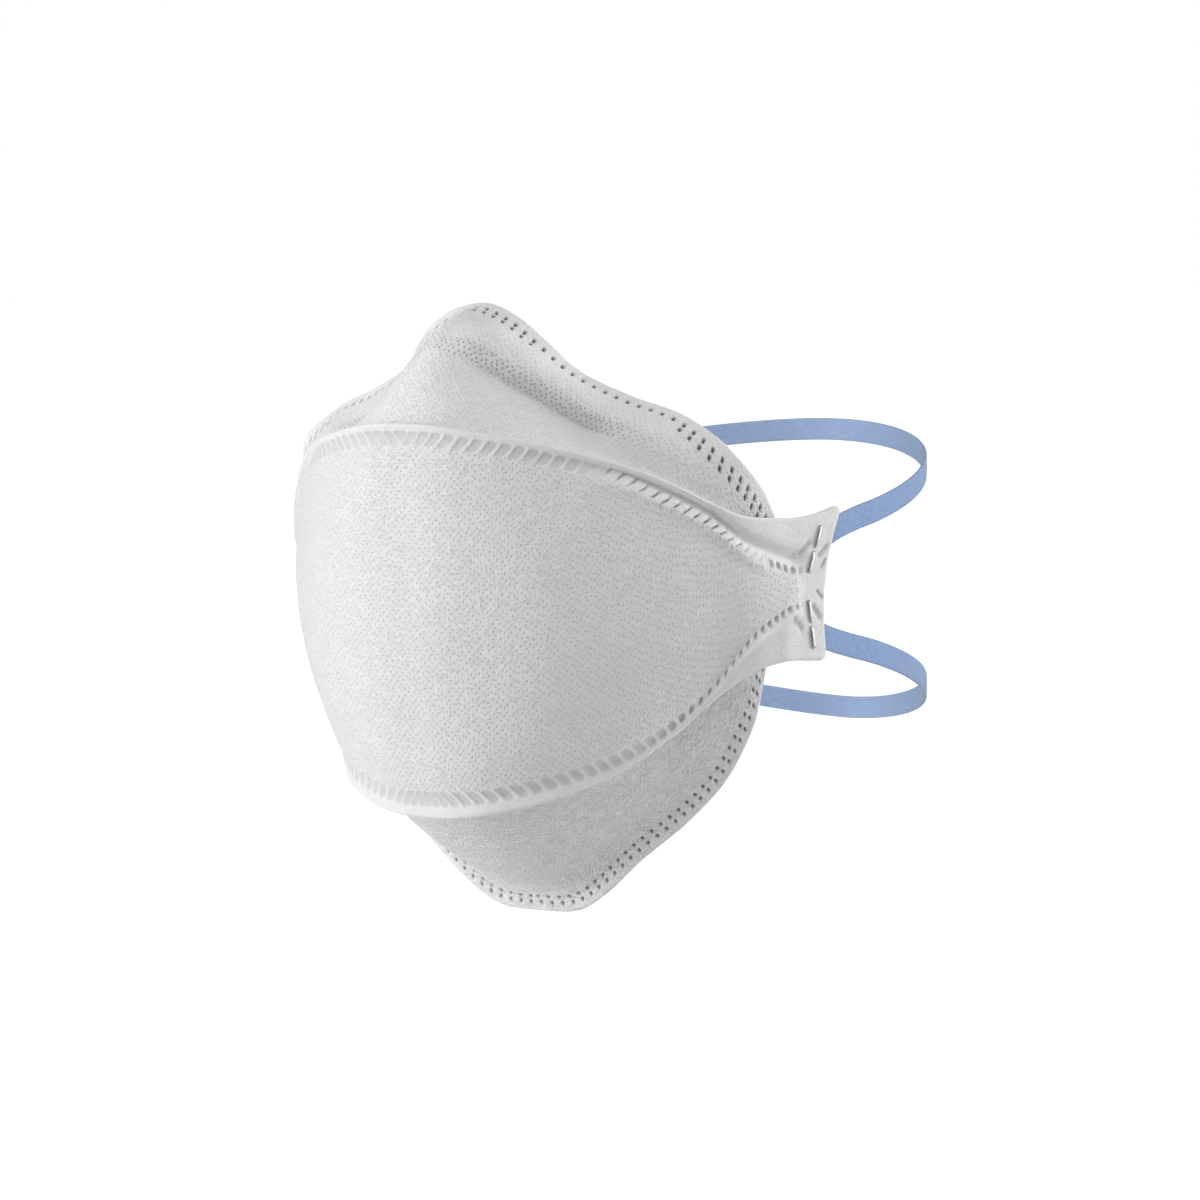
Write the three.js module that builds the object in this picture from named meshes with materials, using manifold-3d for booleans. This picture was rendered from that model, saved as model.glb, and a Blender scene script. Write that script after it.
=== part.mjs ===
// Three-panel flat-fold respirator, opened as it is worn, with two headbands stapled to its side tabs.
// Millimetres. +X is the wearer's left, +Y runs back towards the face and head, +Z is up.
// The origin lies on the face between nose edge and chin edge, level with the middle of the tabs.
import * as THREE from 'three';
import Module from 'manifold-3d';

const wasm = await Module();
wasm.setup();

// Driving sizes
const clothThickness = 1.4;
const restGap = 0.3;
const layerStep = clothThickness + restGap;
const edgeMargin = 2.0;
const bandWidth = 5.8;
const bandThickness = 0.7;
const wireSize = 0.7;
const stapleSpan = 12.0;
const stapleTipGap = 1.6;

// One row for each section of the left half, from the middle of the mask to the knot where the two
// welds run out beside the tab. Edges are the lines of weld dots along the nose and the chin, and
// valley is the fold below the nose band. Flanges are the widths of loose seam outside a weld line,
// and swells are how far cloth stands out between two lines of the section.
const sections = [
  { noseEdge: [0.0, -11.0, 66.0], valley: [0.0, -30.0, 56.4], topWeld: [0.0, -42.6, 36.6],
    bottomWeld: [0.0, -33.0, -48.0], chinEdge: [0.0, 13.5, -77.4],
    topFlange: 3.4, bottomFlange: 4.6, frontSwell: 4.5, noseSwell: 1.2, domeSwell: 1.6, chinSwell: 2.4 },
  { noseEdge: [9.0, -11.6, 63.1], valley: [6.4, -28.2, 54.3], topWeld: [9.0, -42.1, 36.3],
    bottomWeld: [7.5, -32.6, -47.9], chinEdge: [10.8, 13.8, -76.7],
    topFlange: 3.3, bottomFlange: 4.5, frontSwell: 4.6, noseSwell: 1.3, domeSwell: 1.6, chinSwell: 1.8 },
  { noseEdge: [16.2, -10.8, 57.8], valley: [12.6, -24.4, 50.2], topWeld: [18.3, -38.8, 35.0],
    bottomWeld: [16.6, -30.0, -46.6], chinEdge: [19.1, 13.1, -71.9],
    topFlange: 3.2, bottomFlange: 4.4, frontSwell: 4.8, noseSwell: 1.4, domeSwell: 0.8, chinSwell: 0.8 },
  { noseEdge: [23.9, -7.0, 50.5], valley: [20.8, -18.7, 44.4], topWeld: [29.3, -32.5, 32.7],
    bottomWeld: [28.0, -23.3, -43.6], chinEdge: [29.0, 12.7, -63.4],
    topFlange: 3.0, bottomFlange: 4.4, frontSwell: 5.4, noseSwell: 1.4, domeSwell: -0.6, chinSwell: 0.3 },
  { noseEdge: [36.0, -3.2, 44.6], valley: [31.5, -13.0, 37.6], topWeld: [41.0, -22.5, 28.7],
    bottomWeld: [38.8, -12.3, -38.5], chinEdge: [40.8, 14.1, -54.1],
    topFlange: 2.8, bottomFlange: 3.7, frontSwell: 5.8, noseSwell: 1.2, domeSwell: -0.8, chinSwell: 0.4 },
  { noseEdge: [49.3, -0.3, 39.9], valley: [44.6, -10.6, 34.2], topWeld: [50.5, -12.2, 23.5],
    bottomWeld: [48.1, -2.8, -30.6], chinEdge: [51.2, 14.4, -43.4],
    topFlange: 2.7, bottomFlange: 3.2, frontSwell: 5.0, noseSwell: 0.8, domeSwell: 0.0, chinSwell: 0.6 },
  { noseEdge: [60.4, 2.0, 31.0], valley: [57.6, -0.9, 25.4], topWeld: [58.4, -2.8, 17.5],
    bottomWeld: [56.7, 3.4, -20.4], chinEdge: [58.6, 14.3, -30.3],
    topFlange: 3.2, bottomFlange: 4.2, frontSwell: 3.0, noseSwell: 0.3, domeSwell: 0.0, chinSwell: 0.4 },
  { noseEdge: [64.6, 11.2, 19.5], valley: [63.4, 8.6, 15.5], topWeld: [64.2, 4.9, 10.6],
    bottomWeld: [64.0, 7.8, -9.6], chinEdge: [62.3, 14.6, -16.5],
    topFlange: 7.7, bottomFlange: 8.8, frontSwell: 1.2, noseSwell: 0.0, domeSwell: 0.0, chinSwell: 0.2 },
  { noseEdge: [66.6, 16.0, 4.6], valley: [66.9, 15.9, 5.2], topWeld: [69.4, 16.3, 5.8],
    bottomWeld: [69.4, 15.6, -3.5], chinEdge: [66.6, 16.0, -2.4],
    topFlange: 11.5, bottomFlange: 12.6, frontSwell: 0.0, noseSwell: 0.0, domeSwell: 0.0, chinSwell: 0.0 },
];

// The flat tab runs on from the knot in one plane. Its end is hollowed between two corners: reach is
// the distance from the knot at each height.
const knot = new THREE.Vector3(69.4, 16.3, 0);
const tabHeading = THREE.MathUtils.degToRad(70);
const tabEnd = [
  { height: -16.6, reach: 10.4 },
  { height: -9.0, reach: 9.8 },
  { height: -1.0, reach: 9.7 },
  { height: 7.0, reach: 10.8 },
  { height: 14.0, reach: 12.8 },
  { height: 20.1, reach: 15.0 },
];
const tabTopAtKnot = 17.3;
const tabBottomAtKnot = -16.1;

// A staple lies across each band on each tab: its middle and lean in the plane of the tab
const staples = [
  { name: 'upper', reach: 6.3, height: 9.8, leanDegrees: -19 },
  { name: 'lower', reach: 5.3, height: -7.8, leanDegrees: 8 },
];

// A headband starts flat against the inside of the tab and goes round the back of the head as a
// superellipse. The rows give its heights where it starts, under the staple and at the end of the tab,
// which it leaves at tabEndReach.
const headbands = [
  { name: 'upper', halfWidth: 72.2, backReach: 152.4, roundness: 1.87, tabEndReach: 13.0,
    startHeight: 8.1, stapleHeight: 10.0, tabEndHeight: 13.7, loopHeight: 15.0, rise: 12.8, lift: 4.2 },
  { name: 'lower', halfWidth: 71.2, backReach: 164.0, roundness: 1.71, tabEndReach: 10.9,
    startHeight: -7.4, stapleHeight: -8.9, tabEndHeight: -11.0, loopHeight: -12.5, rise: -22.2, lift: -8.0 },
];
const bandStartReach = 1.6;
const loopStart = 31.7;

const colour = { cloth: 0xf2f2f0, innerCloth: 0xe9e9e7, band: 0x6f8fc4, wire: 0xb9bcc0 };
const clothMaterial = new THREE.MeshStandardMaterial({ color: colour.cloth, roughness: 0.92, metalness: 0 });
const innerClothMaterial = new THREE.MeshStandardMaterial({ color: colour.innerCloth, roughness: 0.95, metalness: 0 });
const bandMaterial = new THREE.MeshStandardMaterial({ color: colour.band, roughness: 0.75, metalness: 0 });
const wireMaterial = new THREE.MeshStandardMaterial({ color: colour.wire, roughness: 0.3, metalness: 1 });

const up = new THREE.Vector3(0, 0, 1);
const vector = (list) => new THREE.Vector3(list[0], list[1], list[2]);

// A smooth curve through one column of the sections, mirrored so that it is level at the middle.
// Its station runs from -1 at the right knot through 0 to 1 at the left knot.
function sectionCurve(column) {
  const left = sections.map((row) => vector(row[column]));
  const right = left.slice(1).reverse().map((p) => new THREE.Vector3(-p.x, p.y, p.z));
  const curve = new THREE.CatmullRomCurve3([...right, ...left], false, 'catmullrom', 0.5);
  return (station) => curve.getPoint((station + 1) / 2);
}

// A number from one column of the sections, blended smoothly between rows
function sectionValue(column) {
  const last = sections.length - 1;
  return (station) => {
    const place = Math.min(Math.abs(station), 1) * last;
    const row = Math.min(Math.floor(place), last - 1);
    const part = THREE.MathUtils.smoothstep(place - row, 0, 1);
    return THREE.MathUtils.lerp(sections[row][column], sections[row + 1][column], part);
  };
}

const line = {
  noseEdge: sectionCurve('noseEdge'),
  valley: sectionCurve('valley'),
  topWeld: sectionCurve('topWeld'),
  bottomWeld: sectionCurve('bottomWeld'),
  chinEdge: sectionCurve('chinEdge'),
};
const amount = {
  topFlange: sectionValue('topFlange'),
  bottomFlange: sectionValue('bottomFlange'),
  frontSwell: sectionValue('frontSwell'),
  noseSwell: sectionValue('noseSwell'),
  domeSwell: sectionValue('domeSwell'),
  chinSwell: sectionValue('chinSwell'),
};

// The direction out of the mask at a weld line, square to the line and to the rise of the front panel
function outward(curve, station) {
  const step = 0.01;
  const from = curve(Math.max(station - step, -1));
  const along = curve(Math.min(station + step, 1)).sub(from);
  return along.cross(up).normalize();
}

// Points of one column of the front panel, from the rim below the lower weld to the rim above the
// upper one: the stretch between the welds is a straight rise that swells out as a sine.
const panelRows = 8;
const flangeLean = 0.14;
const swellSkew = 0.8;
function frontColumn(station) {
  const top = line.topWeld(station);
  const bottom = line.bottomWeld(station);
  const rise = top.clone().sub(bottom).normalize();
  const lean = flangeLean * (1 - Math.abs(station));
  const points = [];
  const out = outward(line.bottomWeld, station);
  const lowerWay = rise.clone().negate().addScaledVector(out, lean).normalize();
  for (const part of [1, 0.5]) {
    points.push(bottom.clone().addScaledVector(lowerWay, amount.bottomFlange(station) * part));
  }
  for (let row = 0; row <= panelRows; row += 1) {
    const part = row / panelRows;
    const swell = amount.frontSwell(station) * Math.sin(Math.PI * part ** swellSkew);
    points.push(bottom.clone().lerp(top, part).addScaledVector(outward(line.topWeld, station), swell));
  }
  const upperWay = rise.clone().addScaledVector(outward(line.topWeld, station), lean).normalize();
  for (const part of [0.5, 1]) {
    points.push(top.clone().addScaledVector(upperWay, amount.topFlange(station) * part));
  }
  return points;
}

// The hollow end of the tab as a height to reach line
function tabReach(height) {
  const rows = tabEnd;
  let row = 0;
  while (row < rows.length - 2 && height > rows[row + 1].height) row += 1;
  const part = (height - rows[row].height) / (rows[row + 1].height - rows[row].height);
  return THREE.MathUtils.lerp(rows[row].reach, rows[row + 1].reach, THREE.MathUtils.clamp(part, 0, 1));
}

const tabAlong = new THREE.Vector3(Math.cos(tabHeading), Math.sin(tabHeading), 0);
const tabOut = new THREE.Vector3(Math.sin(tabHeading), -Math.cos(tabHeading), 0);

// A point of the left tab: reach from the knot, height, and distance out of the plane of the tab
function tabPoint(reach, height, out = 0) {
  return new THREE.Vector3(knot.x, knot.y, height).addScaledVector(tabAlong, reach).addScaledVector(tabOut, out);
}

// Columns of the left tab. Part runs from 0 at the knot to 1 at the end, and the rows take the
// heights that the last column of the panel has, eased to even steps at the end.
function tabColumn(part) {
  const knotColumn = frontColumn(1);
  const count = knotColumn.length;
  const low = THREE.MathUtils.lerp(tabBottomAtKnot, tabEnd[0].height, part);
  const high = THREE.MathUtils.lerp(tabTopAtKnot, tabEnd[tabEnd.length - 1].height, part * part);
  return knotColumn.map((point, row) => {
    const knotPart = (point.z - knotColumn[0].z) / (knotColumn[count - 1].z - knotColumn[0].z);
    const height = THREE.MathUtils.lerp(low, high, THREE.MathUtils.lerp(knotPart, row / (count - 1), part));
    return tabPoint(tabReach(height) * part, height);
  });
}

const mirrored = (points) => points.map((p) => new THREE.Vector3(-p.x, p.y, p.z));

// A wall of even thickness on a grid of points: grid[column][row], columns from right to left of the
// wearer's front and rows upwards, so that the cross product of the two faces out of the mask.
function wall(grid, thickness) {
  const columns = grid.length;
  const rows = grid[0].length;
  const positions = [];
  const pick = (c, r) => grid[THREE.MathUtils.clamp(c, 0, columns - 1)][THREE.MathUtils.clamp(r, 0, rows - 1)];
  for (const side of [0.5, -0.5]) {
    for (let c = 0; c < columns; c += 1) {
      for (let r = 0; r < rows; r += 1) {
        const across = pick(c + 1, r).clone().sub(pick(c - 1, r));
        const rise = pick(c, r + 1).clone().sub(pick(c, r - 1));
        const normal = across.cross(rise).normalize();
        const point = pick(c, r).clone().addScaledVector(normal, side * thickness);
        positions.push(point.x, point.y, point.z);
      }
    }
  }
  const outer = (c, r) => c * rows + r;
  const inner = (c, r) => (columns + c) * rows + r;
  const index = [];
  const quad = (a, b, c, d) => index.push(a, b, c, a, c, d);
  for (let c = 0; c < columns - 1; c += 1) {
    for (let r = 0; r < rows - 1; r += 1) {
      quad(outer(c, r), outer(c + 1, r), outer(c + 1, r + 1), outer(c, r + 1));
      quad(inner(c, r), inner(c, r + 1), inner(c + 1, r + 1), inner(c + 1, r));
    }
    quad(inner(c, 0), inner(c + 1, 0), outer(c + 1, 0), outer(c, 0));
    quad(outer(c, rows - 1), outer(c + 1, rows - 1), inner(c + 1, rows - 1), inner(c, rows - 1));
  }
  for (let r = 0; r < rows - 1; r += 1) {
    quad(inner(0, r), outer(0, r), outer(0, r + 1), inner(0, r + 1));
    quad(outer(columns - 1, r), inner(columns - 1, r), inner(columns - 1, r + 1), outer(columns - 1, r + 1));
  }
  const geometry = new THREE.BufferGeometry();
  geometry.setAttribute('position', new THREE.Float32BufferAttribute(positions, 3));
  geometry.setIndex(index);
  return geometry;
}

function toSolid(geometry) {
  const vertProperties = new Float32Array(geometry.getAttribute('position').array);
  const triVerts = new Uint32Array(geometry.getIndex().array);
  return new wasm.Manifold(new wasm.Mesh({ numProp: 3, vertProperties, triVerts }));
}

function toGeometry(solid) {
  const mesh = solid.getMesh();
  const geometry = new THREE.BufferGeometry();
  geometry.setAttribute('position', new THREE.BufferAttribute(mesh.vertProperties, mesh.numProp));
  geometry.setIndex(new THREE.BufferAttribute(mesh.triVerts, 1));
  return geometry;
}

// A straight bar with a square section between two points, used to pierce the tab for a staple leg
function bar(from, to, size, sideways) {
  const along = to.clone().sub(from).normalize();
  const a = sideways.clone().multiplyScalar(size / 2);
  const b = along.clone().cross(sideways).normalize().multiplyScalar(size / 2);
  const corners = [[-1, -1], [1, -1], [1, 1], [-1, 1]];
  const positions = [];
  for (const end of [from, to]) {
    for (const [i, j] of corners) {
      const p = end.clone().addScaledVector(a, i).addScaledVector(b, j);
      positions.push(p.x, p.y, p.z);
    }
  }
  const index = [0, 2, 1, 0, 3, 2, 4, 5, 6, 4, 6, 7];
  for (let k = 0; k < 4; k += 1) {
    const next = (k + 1) % 4;
    index.push(k, next, next + 4, k, next + 4, k + 4);
  }
  const geometry = new THREE.BufferGeometry();
  geometry.setAttribute('position', new THREE.Float32BufferAttribute(positions, 3));
  geometry.setIndex(index);
  return geometry;
}

// Levels of a staple out of the plane of the tab: its crown lies over the band inside, and its
// points are bent over outside.
const outsideLevel = clothThickness / 2 + restGap + wireSize / 2;
const bandLevel = -(clothThickness / 2 + restGap + bandThickness / 2);
const crownLevel = bandLevel - bandThickness / 2 - restGap - wireSize / 2;
const legPlace = (stapleSpan - wireSize) / 2;

// The direction of a staple's crown in the plane of the left tab
function stapleWay(staple) {
  const lean = THREE.MathUtils.degToRad(staple.leanDegrees);
  return up.clone().multiplyScalar(Math.cos(lean)).addScaledVector(tabAlong, -Math.sin(lean));
}

function legHoles() {
  const holes = [];
  for (const staple of staples) {
    const way = stapleWay(staple);
    for (const end of [-1, 1]) {
      const inner = tabPoint(staple.reach, staple.height, -clothThickness).addScaledVector(way, end * legPlace);
      const outer = tabPoint(staple.reach, staple.height, clothThickness).addScaledVector(way, end * legPlace);
      holes.push(bar(inner, outer, wireSize + 2 * restGap, way));
    }
  }
  return holes;
}

function mirrorGeometry(geometry) {
  const copy = geometry.clone();
  copy.applyMatrix4(new THREE.Matrix4().makeScale(-1, 1, 1));
  const index = copy.getIndex().array;
  for (let k = 0; k < index.length; k += 3) {
    const first = index[k];
    index[k] = index[k + 1];
    index[k + 1] = first;
  }
  return copy;
}

const halfColumns = 24;
const tabColumns = 4;

function frontPanelGeometry() {
  const leftTab = [];
  for (let k = 1; k <= tabColumns; k += 1) leftTab.push(tabColumn(k / tabColumns));
  const middle = [];
  for (let k = -halfColumns; k <= halfColumns; k += 1) middle.push(frontColumn(k / halfColumns));
  const rightTab = leftTab.map(mirrored).reverse();
  let solid = toSolid(wall([...rightTab, ...middle, ...leftTab], clothThickness));
  for (const hole of legHoles()) {
    solid = solid.subtract(toSolid(hole));
    solid = solid.subtract(toSolid(mirrorGeometry(hole)));
  }
  return toGeometry(solid);
}

// The upper panel hangs behind the upper weld: it swells over the nose, dips at the valley and ends
// in the stiff band along its edge.
const domeRows = 5;
const noseRows = 5;
function topColumn(station) {
  const weldOut = outward(line.topWeld, station);
  const weld = line.topWeld(station).addScaledVector(weldOut, -layerStep);
  const valley = line.valley(station);
  const edge = line.noseEdge(station);
  const across = outward(line.noseEdge, station);
  const points = [];
  for (let row = 0; row < domeRows; row += 1) {
    const part = row / domeRows;
    const swell = amount.domeSwell(station) * Math.sin(Math.PI * part);
    points.push(weld.clone().lerp(valley, part).addScaledVector(weldOut, swell));
  }
  const bandWay = edge.clone().sub(valley);
  const lift = across.clone().add(up).normalize();
  for (let row = 0; row <= noseRows; row += 1) {
    const part = row / noseRows;
    const swell = amount.noseSwell(station) * Math.sin(Math.PI * part);
    points.push(valley.clone().lerp(edge, part).addScaledVector(lift, swell));
  }
  const margin = Math.min(edgeMargin, bandWay.length());
  points.push(edge.clone().addScaledVector(bandWay.normalize(), margin));
  return points;
}

// The lower panel hangs behind the lower weld and runs back under the chin
const chinRows = 8;
function bottomColumn(station) {
  const weldOut = outward(line.bottomWeld, station);
  const weld = line.bottomWeld(station).addScaledVector(weldOut, -layerStep);
  const edge = line.chinEdge(station);
  const run = edge.clone().sub(weld);
  const sag = weldOut.clone().addScaledVector(up, -1).normalize();
  const points = [];
  for (let row = 0; row <= chinRows; row += 1) {
    const part = row / chinRows;
    const swell = amount.chinSwell(station) * Math.sin(Math.PI * part);
    points.push(weld.clone().addScaledVector(run, part).addScaledVector(sag, swell));
  }
  const margin = Math.min(edgeMargin, run.length() / 2);
  points.push(edge.clone().addScaledVector(run.normalize(), margin));
  return points.reverse();
}

const panelColumns = 24;
function sidePanelGeometry(column) {
  const grid = [];
  for (let k = -panelColumns; k <= panelColumns; k += 1) grid.push(column(k / panelColumns));
  return wall(grid, clothThickness);
}

// The middle line of a headband from the left tab to the back of the head
const loopSteps = 16;
function headbandRoute(band) {
  const points = [
    tabPoint(bandStartReach, band.startHeight, bandLevel),
    tabPoint(staples[0].reach, band.stapleHeight, bandLevel),
    tabPoint(band.tabEndReach, band.tabEndHeight, bandLevel),
  ];
  for (let step = 1; step <= loopSteps; step += 1) {
    const angle = (Math.PI / 2) * (step / loopSteps);
    const x = band.halfWidth * Math.cos(angle) ** (2 / band.roundness);
    const part = Math.sin(angle) ** (2 / band.roundness);
    const y = THREE.MathUtils.lerp(loopStart, band.backReach, part);
    const z = band.loopHeight + band.rise * part + band.lift * part * part;
    points.push(new THREE.Vector3(Math.max(x, 0), y, z));
  }
  const right = mirrored(points.slice(0, -1)).reverse();
  return new THREE.CatmullRomCurve3([...points, ...right], false, 'centripetal');
}

const bandSteps = 64;
function headbandGeometry(band) {
  const route = headbandRoute(band);
  const grid = [];
  for (let step = 0; step <= bandSteps; step += 1) {
    const place = route.getPoint(step / bandSteps);
    const along = route.getTangent(step / bandSteps);
    const out = along.clone().cross(up).normalize();
    const tall = out.clone().cross(along).normalize();
    grid.push([-0.5, 0, 0.5].map((part) => place.clone().addScaledVector(tall, part * bandWidth)));
  }
  return wall(grid, bandThickness);
}

// A staple is a C of square wire: crown inside, legs through the tab, points bent over outside
function stapleGeometry(staple) {
  const half = wireSize / 2;
  const end = stapleSpan / 2;
  const tip = stapleTipGap / 2;
  const outline = [
    [-tip, outsideLevel + half], [-end, outsideLevel + half], [-end, crownLevel - half],
    [end, crownLevel - half], [end, outsideLevel + half], [tip, outsideLevel + half],
    [tip, outsideLevel - half], [end - wireSize, outsideLevel - half], [end - wireSize, crownLevel + half],
    [-end + wireSize, crownLevel + half], [-end + wireSize, outsideLevel - half], [-tip, outsideLevel - half],
  ];
  const shape = new THREE.Shape(outline.map(([x, y]) => new THREE.Vector2(x, y)));
  const geometry = new THREE.ExtrudeGeometry(shape, { depth: wireSize, bevelEnabled: false });
  geometry.translate(0, 0, -half);
  const way = stapleWay(staple);
  const sideways = way.clone().cross(tabOut);
  const place = tabPoint(staple.reach, staple.height);
  const frame = new THREE.Matrix4().makeBasis(way, tabOut, sideways).setPosition(place);
  geometry.applyMatrix4(frame);
  return geometry;
}

// A mirrored copy of loose triangles, with each one turned round so that it still faces out
function mirrorLoose(geometry) {
  const source = geometry.getAttribute('position');
  const positions = [];
  for (let k = 0; k < source.count; k += 3) {
    for (const corner of [k, k + 2, k + 1]) {
      positions.push(-source.getX(corner), source.getY(corner), source.getZ(corner));
    }
  }
  const copy = new THREE.BufferGeometry();
  copy.setAttribute('position', new THREE.Float32BufferAttribute(positions, 3));
  return copy;
}

const respirator = new THREE.Group();

function addPiece(name, geometry, material) {
  const mesh = new THREE.Mesh(geometry, material);
  mesh.name = name;
  respirator.add(mesh);
}

addPiece('front_panel', frontPanelGeometry(), clothMaterial);
addPiece('top_panel', sidePanelGeometry(topColumn), clothMaterial);
addPiece('bottom_panel', sidePanelGeometry(bottomColumn), innerClothMaterial);
for (const band of headbands) addPiece(`${band.name}_headband`, headbandGeometry(band), bandMaterial);
for (const staple of staples) {
  const left = stapleGeometry(staple);
  addPiece(`${staple.name}_staple_left`, left, wireMaterial);
  addPiece(`${staple.name}_staple_right`, mirrorLoose(left), wireMaterial);
}

export default respirator;
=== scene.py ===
"""Dresses the disposable respirator: three cloth panels with welded seams, two headbands and four staples.

Sizes are millimetres in the tables and metres in the meshes. +X is the wearer's left, +Y runs back
towards the face and +Z is up.
"""
import logging
import math
from collections.abc import Callable
from dataclasses import dataclass
from enum import Enum
from functools import partial

import bpy
import numpy as np
from mathutils import Matrix, Vector


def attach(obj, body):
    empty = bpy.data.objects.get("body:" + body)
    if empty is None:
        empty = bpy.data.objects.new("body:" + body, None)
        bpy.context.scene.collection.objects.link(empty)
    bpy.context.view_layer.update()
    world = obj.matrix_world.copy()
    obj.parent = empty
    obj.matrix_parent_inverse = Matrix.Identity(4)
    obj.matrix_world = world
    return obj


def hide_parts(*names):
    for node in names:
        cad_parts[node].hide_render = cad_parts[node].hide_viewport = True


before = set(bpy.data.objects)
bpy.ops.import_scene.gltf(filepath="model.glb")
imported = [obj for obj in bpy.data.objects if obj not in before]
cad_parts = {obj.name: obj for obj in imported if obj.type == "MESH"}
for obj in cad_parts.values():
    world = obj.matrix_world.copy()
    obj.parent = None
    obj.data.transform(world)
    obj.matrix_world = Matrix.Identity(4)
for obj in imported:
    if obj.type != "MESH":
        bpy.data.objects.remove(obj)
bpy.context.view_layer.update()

LOG = logging.getLogger("respirator")
MM = 0.001
UP = np.array([0.0, 0.0, 1.0])
MIRROR = np.array([-1.0, 1.0, 1.0])
FINE_STATIONS = np.linspace(-1.0, 1.0, 1601)
# Share of a margin's width at each of its rows, from the edge line out to the rim
MARGIN_ROWS = np.array([0.13, 0.27, 0.41, 0.55, 0.75, 0.89, 0.97, 1.0])
# Millimetres between the rows where a panel has dots
DOT_ROW_STEP = 0.27

# Lines of the left half in millimetres, one point for each section from the middle to the knot where
# the two welds run out beside the tab
SECTION_LINES = {
    "nose_edge": [(0, -11, 66), (9, -11.6, 63.1), (16.2, -10.8, 57.8), (23.9, -7, 50.5), (36, -3.2, 44.6),
                  (49.3, -0.3, 39.9), (60.4, 2, 31), (64.6, 11.2, 19.5), (66.6, 16, 4.6)],
    "valley": [(0, -30, 56.4), (6.4, -28.2, 54.3), (12.6, -24.4, 50.2), (20.8, -18.7, 44.4),
               (31.5, -13, 37.6), (44.6, -10.6, 34.2), (57.6, -0.9, 25.4), (63.4, 8.6, 15.5),
               (66.9, 15.9, 5.2)],
    "top_weld": [(0, -42.6, 36.6), (9, -42.1, 36.3), (18.3, -38.8, 35), (29.3, -32.5, 32.7),
                 (41, -22.5, 28.7), (50.5, -12.2, 23.5), (58.4, -2.8, 17.5), (64.2, 4.9, 10.6),
                 (69.4, 16.3, 5.8)],
    "bottom_weld": [(0, -33, -48), (7.5, -32.6, -47.9), (16.6, -30, -46.6), (28, -23.3, -43.6),
                    (38.8, -12.3, -38.5), (48.1, -2.8, -30.6), (56.7, 3.4, -20.4), (64, 7.8, -9.6),
                    (69.4, 15.6, -3.5)],
    "chin_edge": [(0, 13.5, -77.4), (10.8, 13.8, -76.7), (19.1, 13.1, -71.9), (29, 12.7, -63.4),
                  (40.8, 14.1, -54.1), (51.2, 14.4, -43.4), (58.6, 14.3, -30.3), (62.3, 14.6, -16.5),
                  (66.6, 16, -2.4)],
}

# Sizes of the same sections: widths of loose seam outside each weld, and how far the cloth stands out
SECTION_SIZES = {
    "top_flange": (3.4, 3.3, 3.2, 3.2, 3.6, 4.2, 4.5, 7.7, 11.5),
    "bottom_flange": (4.6, 4.5, 4.4, 4.4, 3.7, 3.2, 4.2, 8.8, 12.6),
    "front_swell": (4.5, 4.6, 4.8, 5.4, 5.8, 5.0, 3.0, 1.2, 0.0),
    "nose_swell": (1.2, 1.3, 1.4, 1.4, 1.2, 0.8, 0.3, 0.0, 0.0),
    "dome_swell": (1.6, 1.6, 0.8, -0.6, -0.8, 0.0, 0.0, 0.0, 0.0),
    "chin_swell": (2.4, 1.8, 0.8, 0.3, 0.4, 0.6, 0.4, 0.2, 0.0),
}


class Side(Enum):
    """The two halves of the mask."""

    LEFT = "left"
    RIGHT = "right"


class Level(Enum):
    """The upper and the lower headband, and the staples that hold them."""

    UPPER = "upper"
    LOWER = "lower"


def smooth(value: np.ndarray, low: float, high: float) -> np.ndarray:
    """Rise from 0 at low to 1 at high as 3t^2 - 2t^3.

    Args:
        value: Numbers to place between the two ends.
        low: Where the rise starts.
        high: Where the rise ends.

    Returns:
        The eased share of each number.
    """
    part = np.clip((value - low) / (high - low), 0.0, 1.0)
    return part * part * (3.0 - 2.0 * part)


def blend(first: np.ndarray | float, second: np.ndarray | float, share: np.ndarray) -> np.ndarray:
    """Run straight from first at share 0 to second at share 1."""
    return first + (second - first) * share


def unit(vectors: np.ndarray) -> np.ndarray:
    """Scale each vector to length one."""
    return vectors / np.maximum(np.linalg.norm(vectors, axis=-1, keepdims=True), 1e-9)


def lengths_along(points: np.ndarray) -> np.ndarray:
    """Add up the straight steps from the first point of a line to each of its points."""
    steps = np.linalg.norm(np.diff(points, axis=0), axis=-1)
    return np.concatenate([[0.0], np.cumsum(steps)])


def spline(points: np.ndarray, place: np.ndarray, centripetal: bool = False) -> np.ndarray:
    """Evaluate a Catmull-Rom curve through the points.

    Each stretch is a cubic with the tangents (next - previous) / 2, or with the tangents of the
    centripetal form, whose knots are spaced by the square root of the distance.

    Args:
        points: The n points of the curve.
        place: Places from 0 at the first point to 1 at the last.
        centripetal: Whether to use the centripetal form.

    Returns:
        One point for each place.
    """
    points = np.asarray(points, float)
    last = len(points) - 1
    padded = np.vstack([2 * points[0] - points[1], points, 2 * points[-1] - points[-2]])
    scaled = np.clip(np.asarray(place, float), 0.0, 1.0) * last
    step = np.minimum(scaled.astype(int), last - 1)
    part = (scaled - step)[..., None]
    before, here, after, beyond = (padded[step + k] for k in range(4))
    if centripetal:
        gaps = [np.linalg.norm(b - a, axis=-1, keepdims=True) ** 0.5
                for a, b in ((before, here), (here, after), (after, beyond))]
        first = (here - before) / gaps[0] - (after - before) / (gaps[0] + gaps[1]) + (after - here) / gaps[1]
        second = (after - here) / gaps[1] - (beyond - here) / (gaps[1] + gaps[2]) + (beyond - after) / gaps[2]
        first, second = first * gaps[1], second * gaps[1]
    else:
        first, second = (after - before) / 2, (beyond - here) / 2
    square = -3 * here + 3 * after - 2 * first - second
    cube = 2 * here - 2 * after + first + second
    return here + first * part + square * part ** 2 + cube * part ** 3


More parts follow.
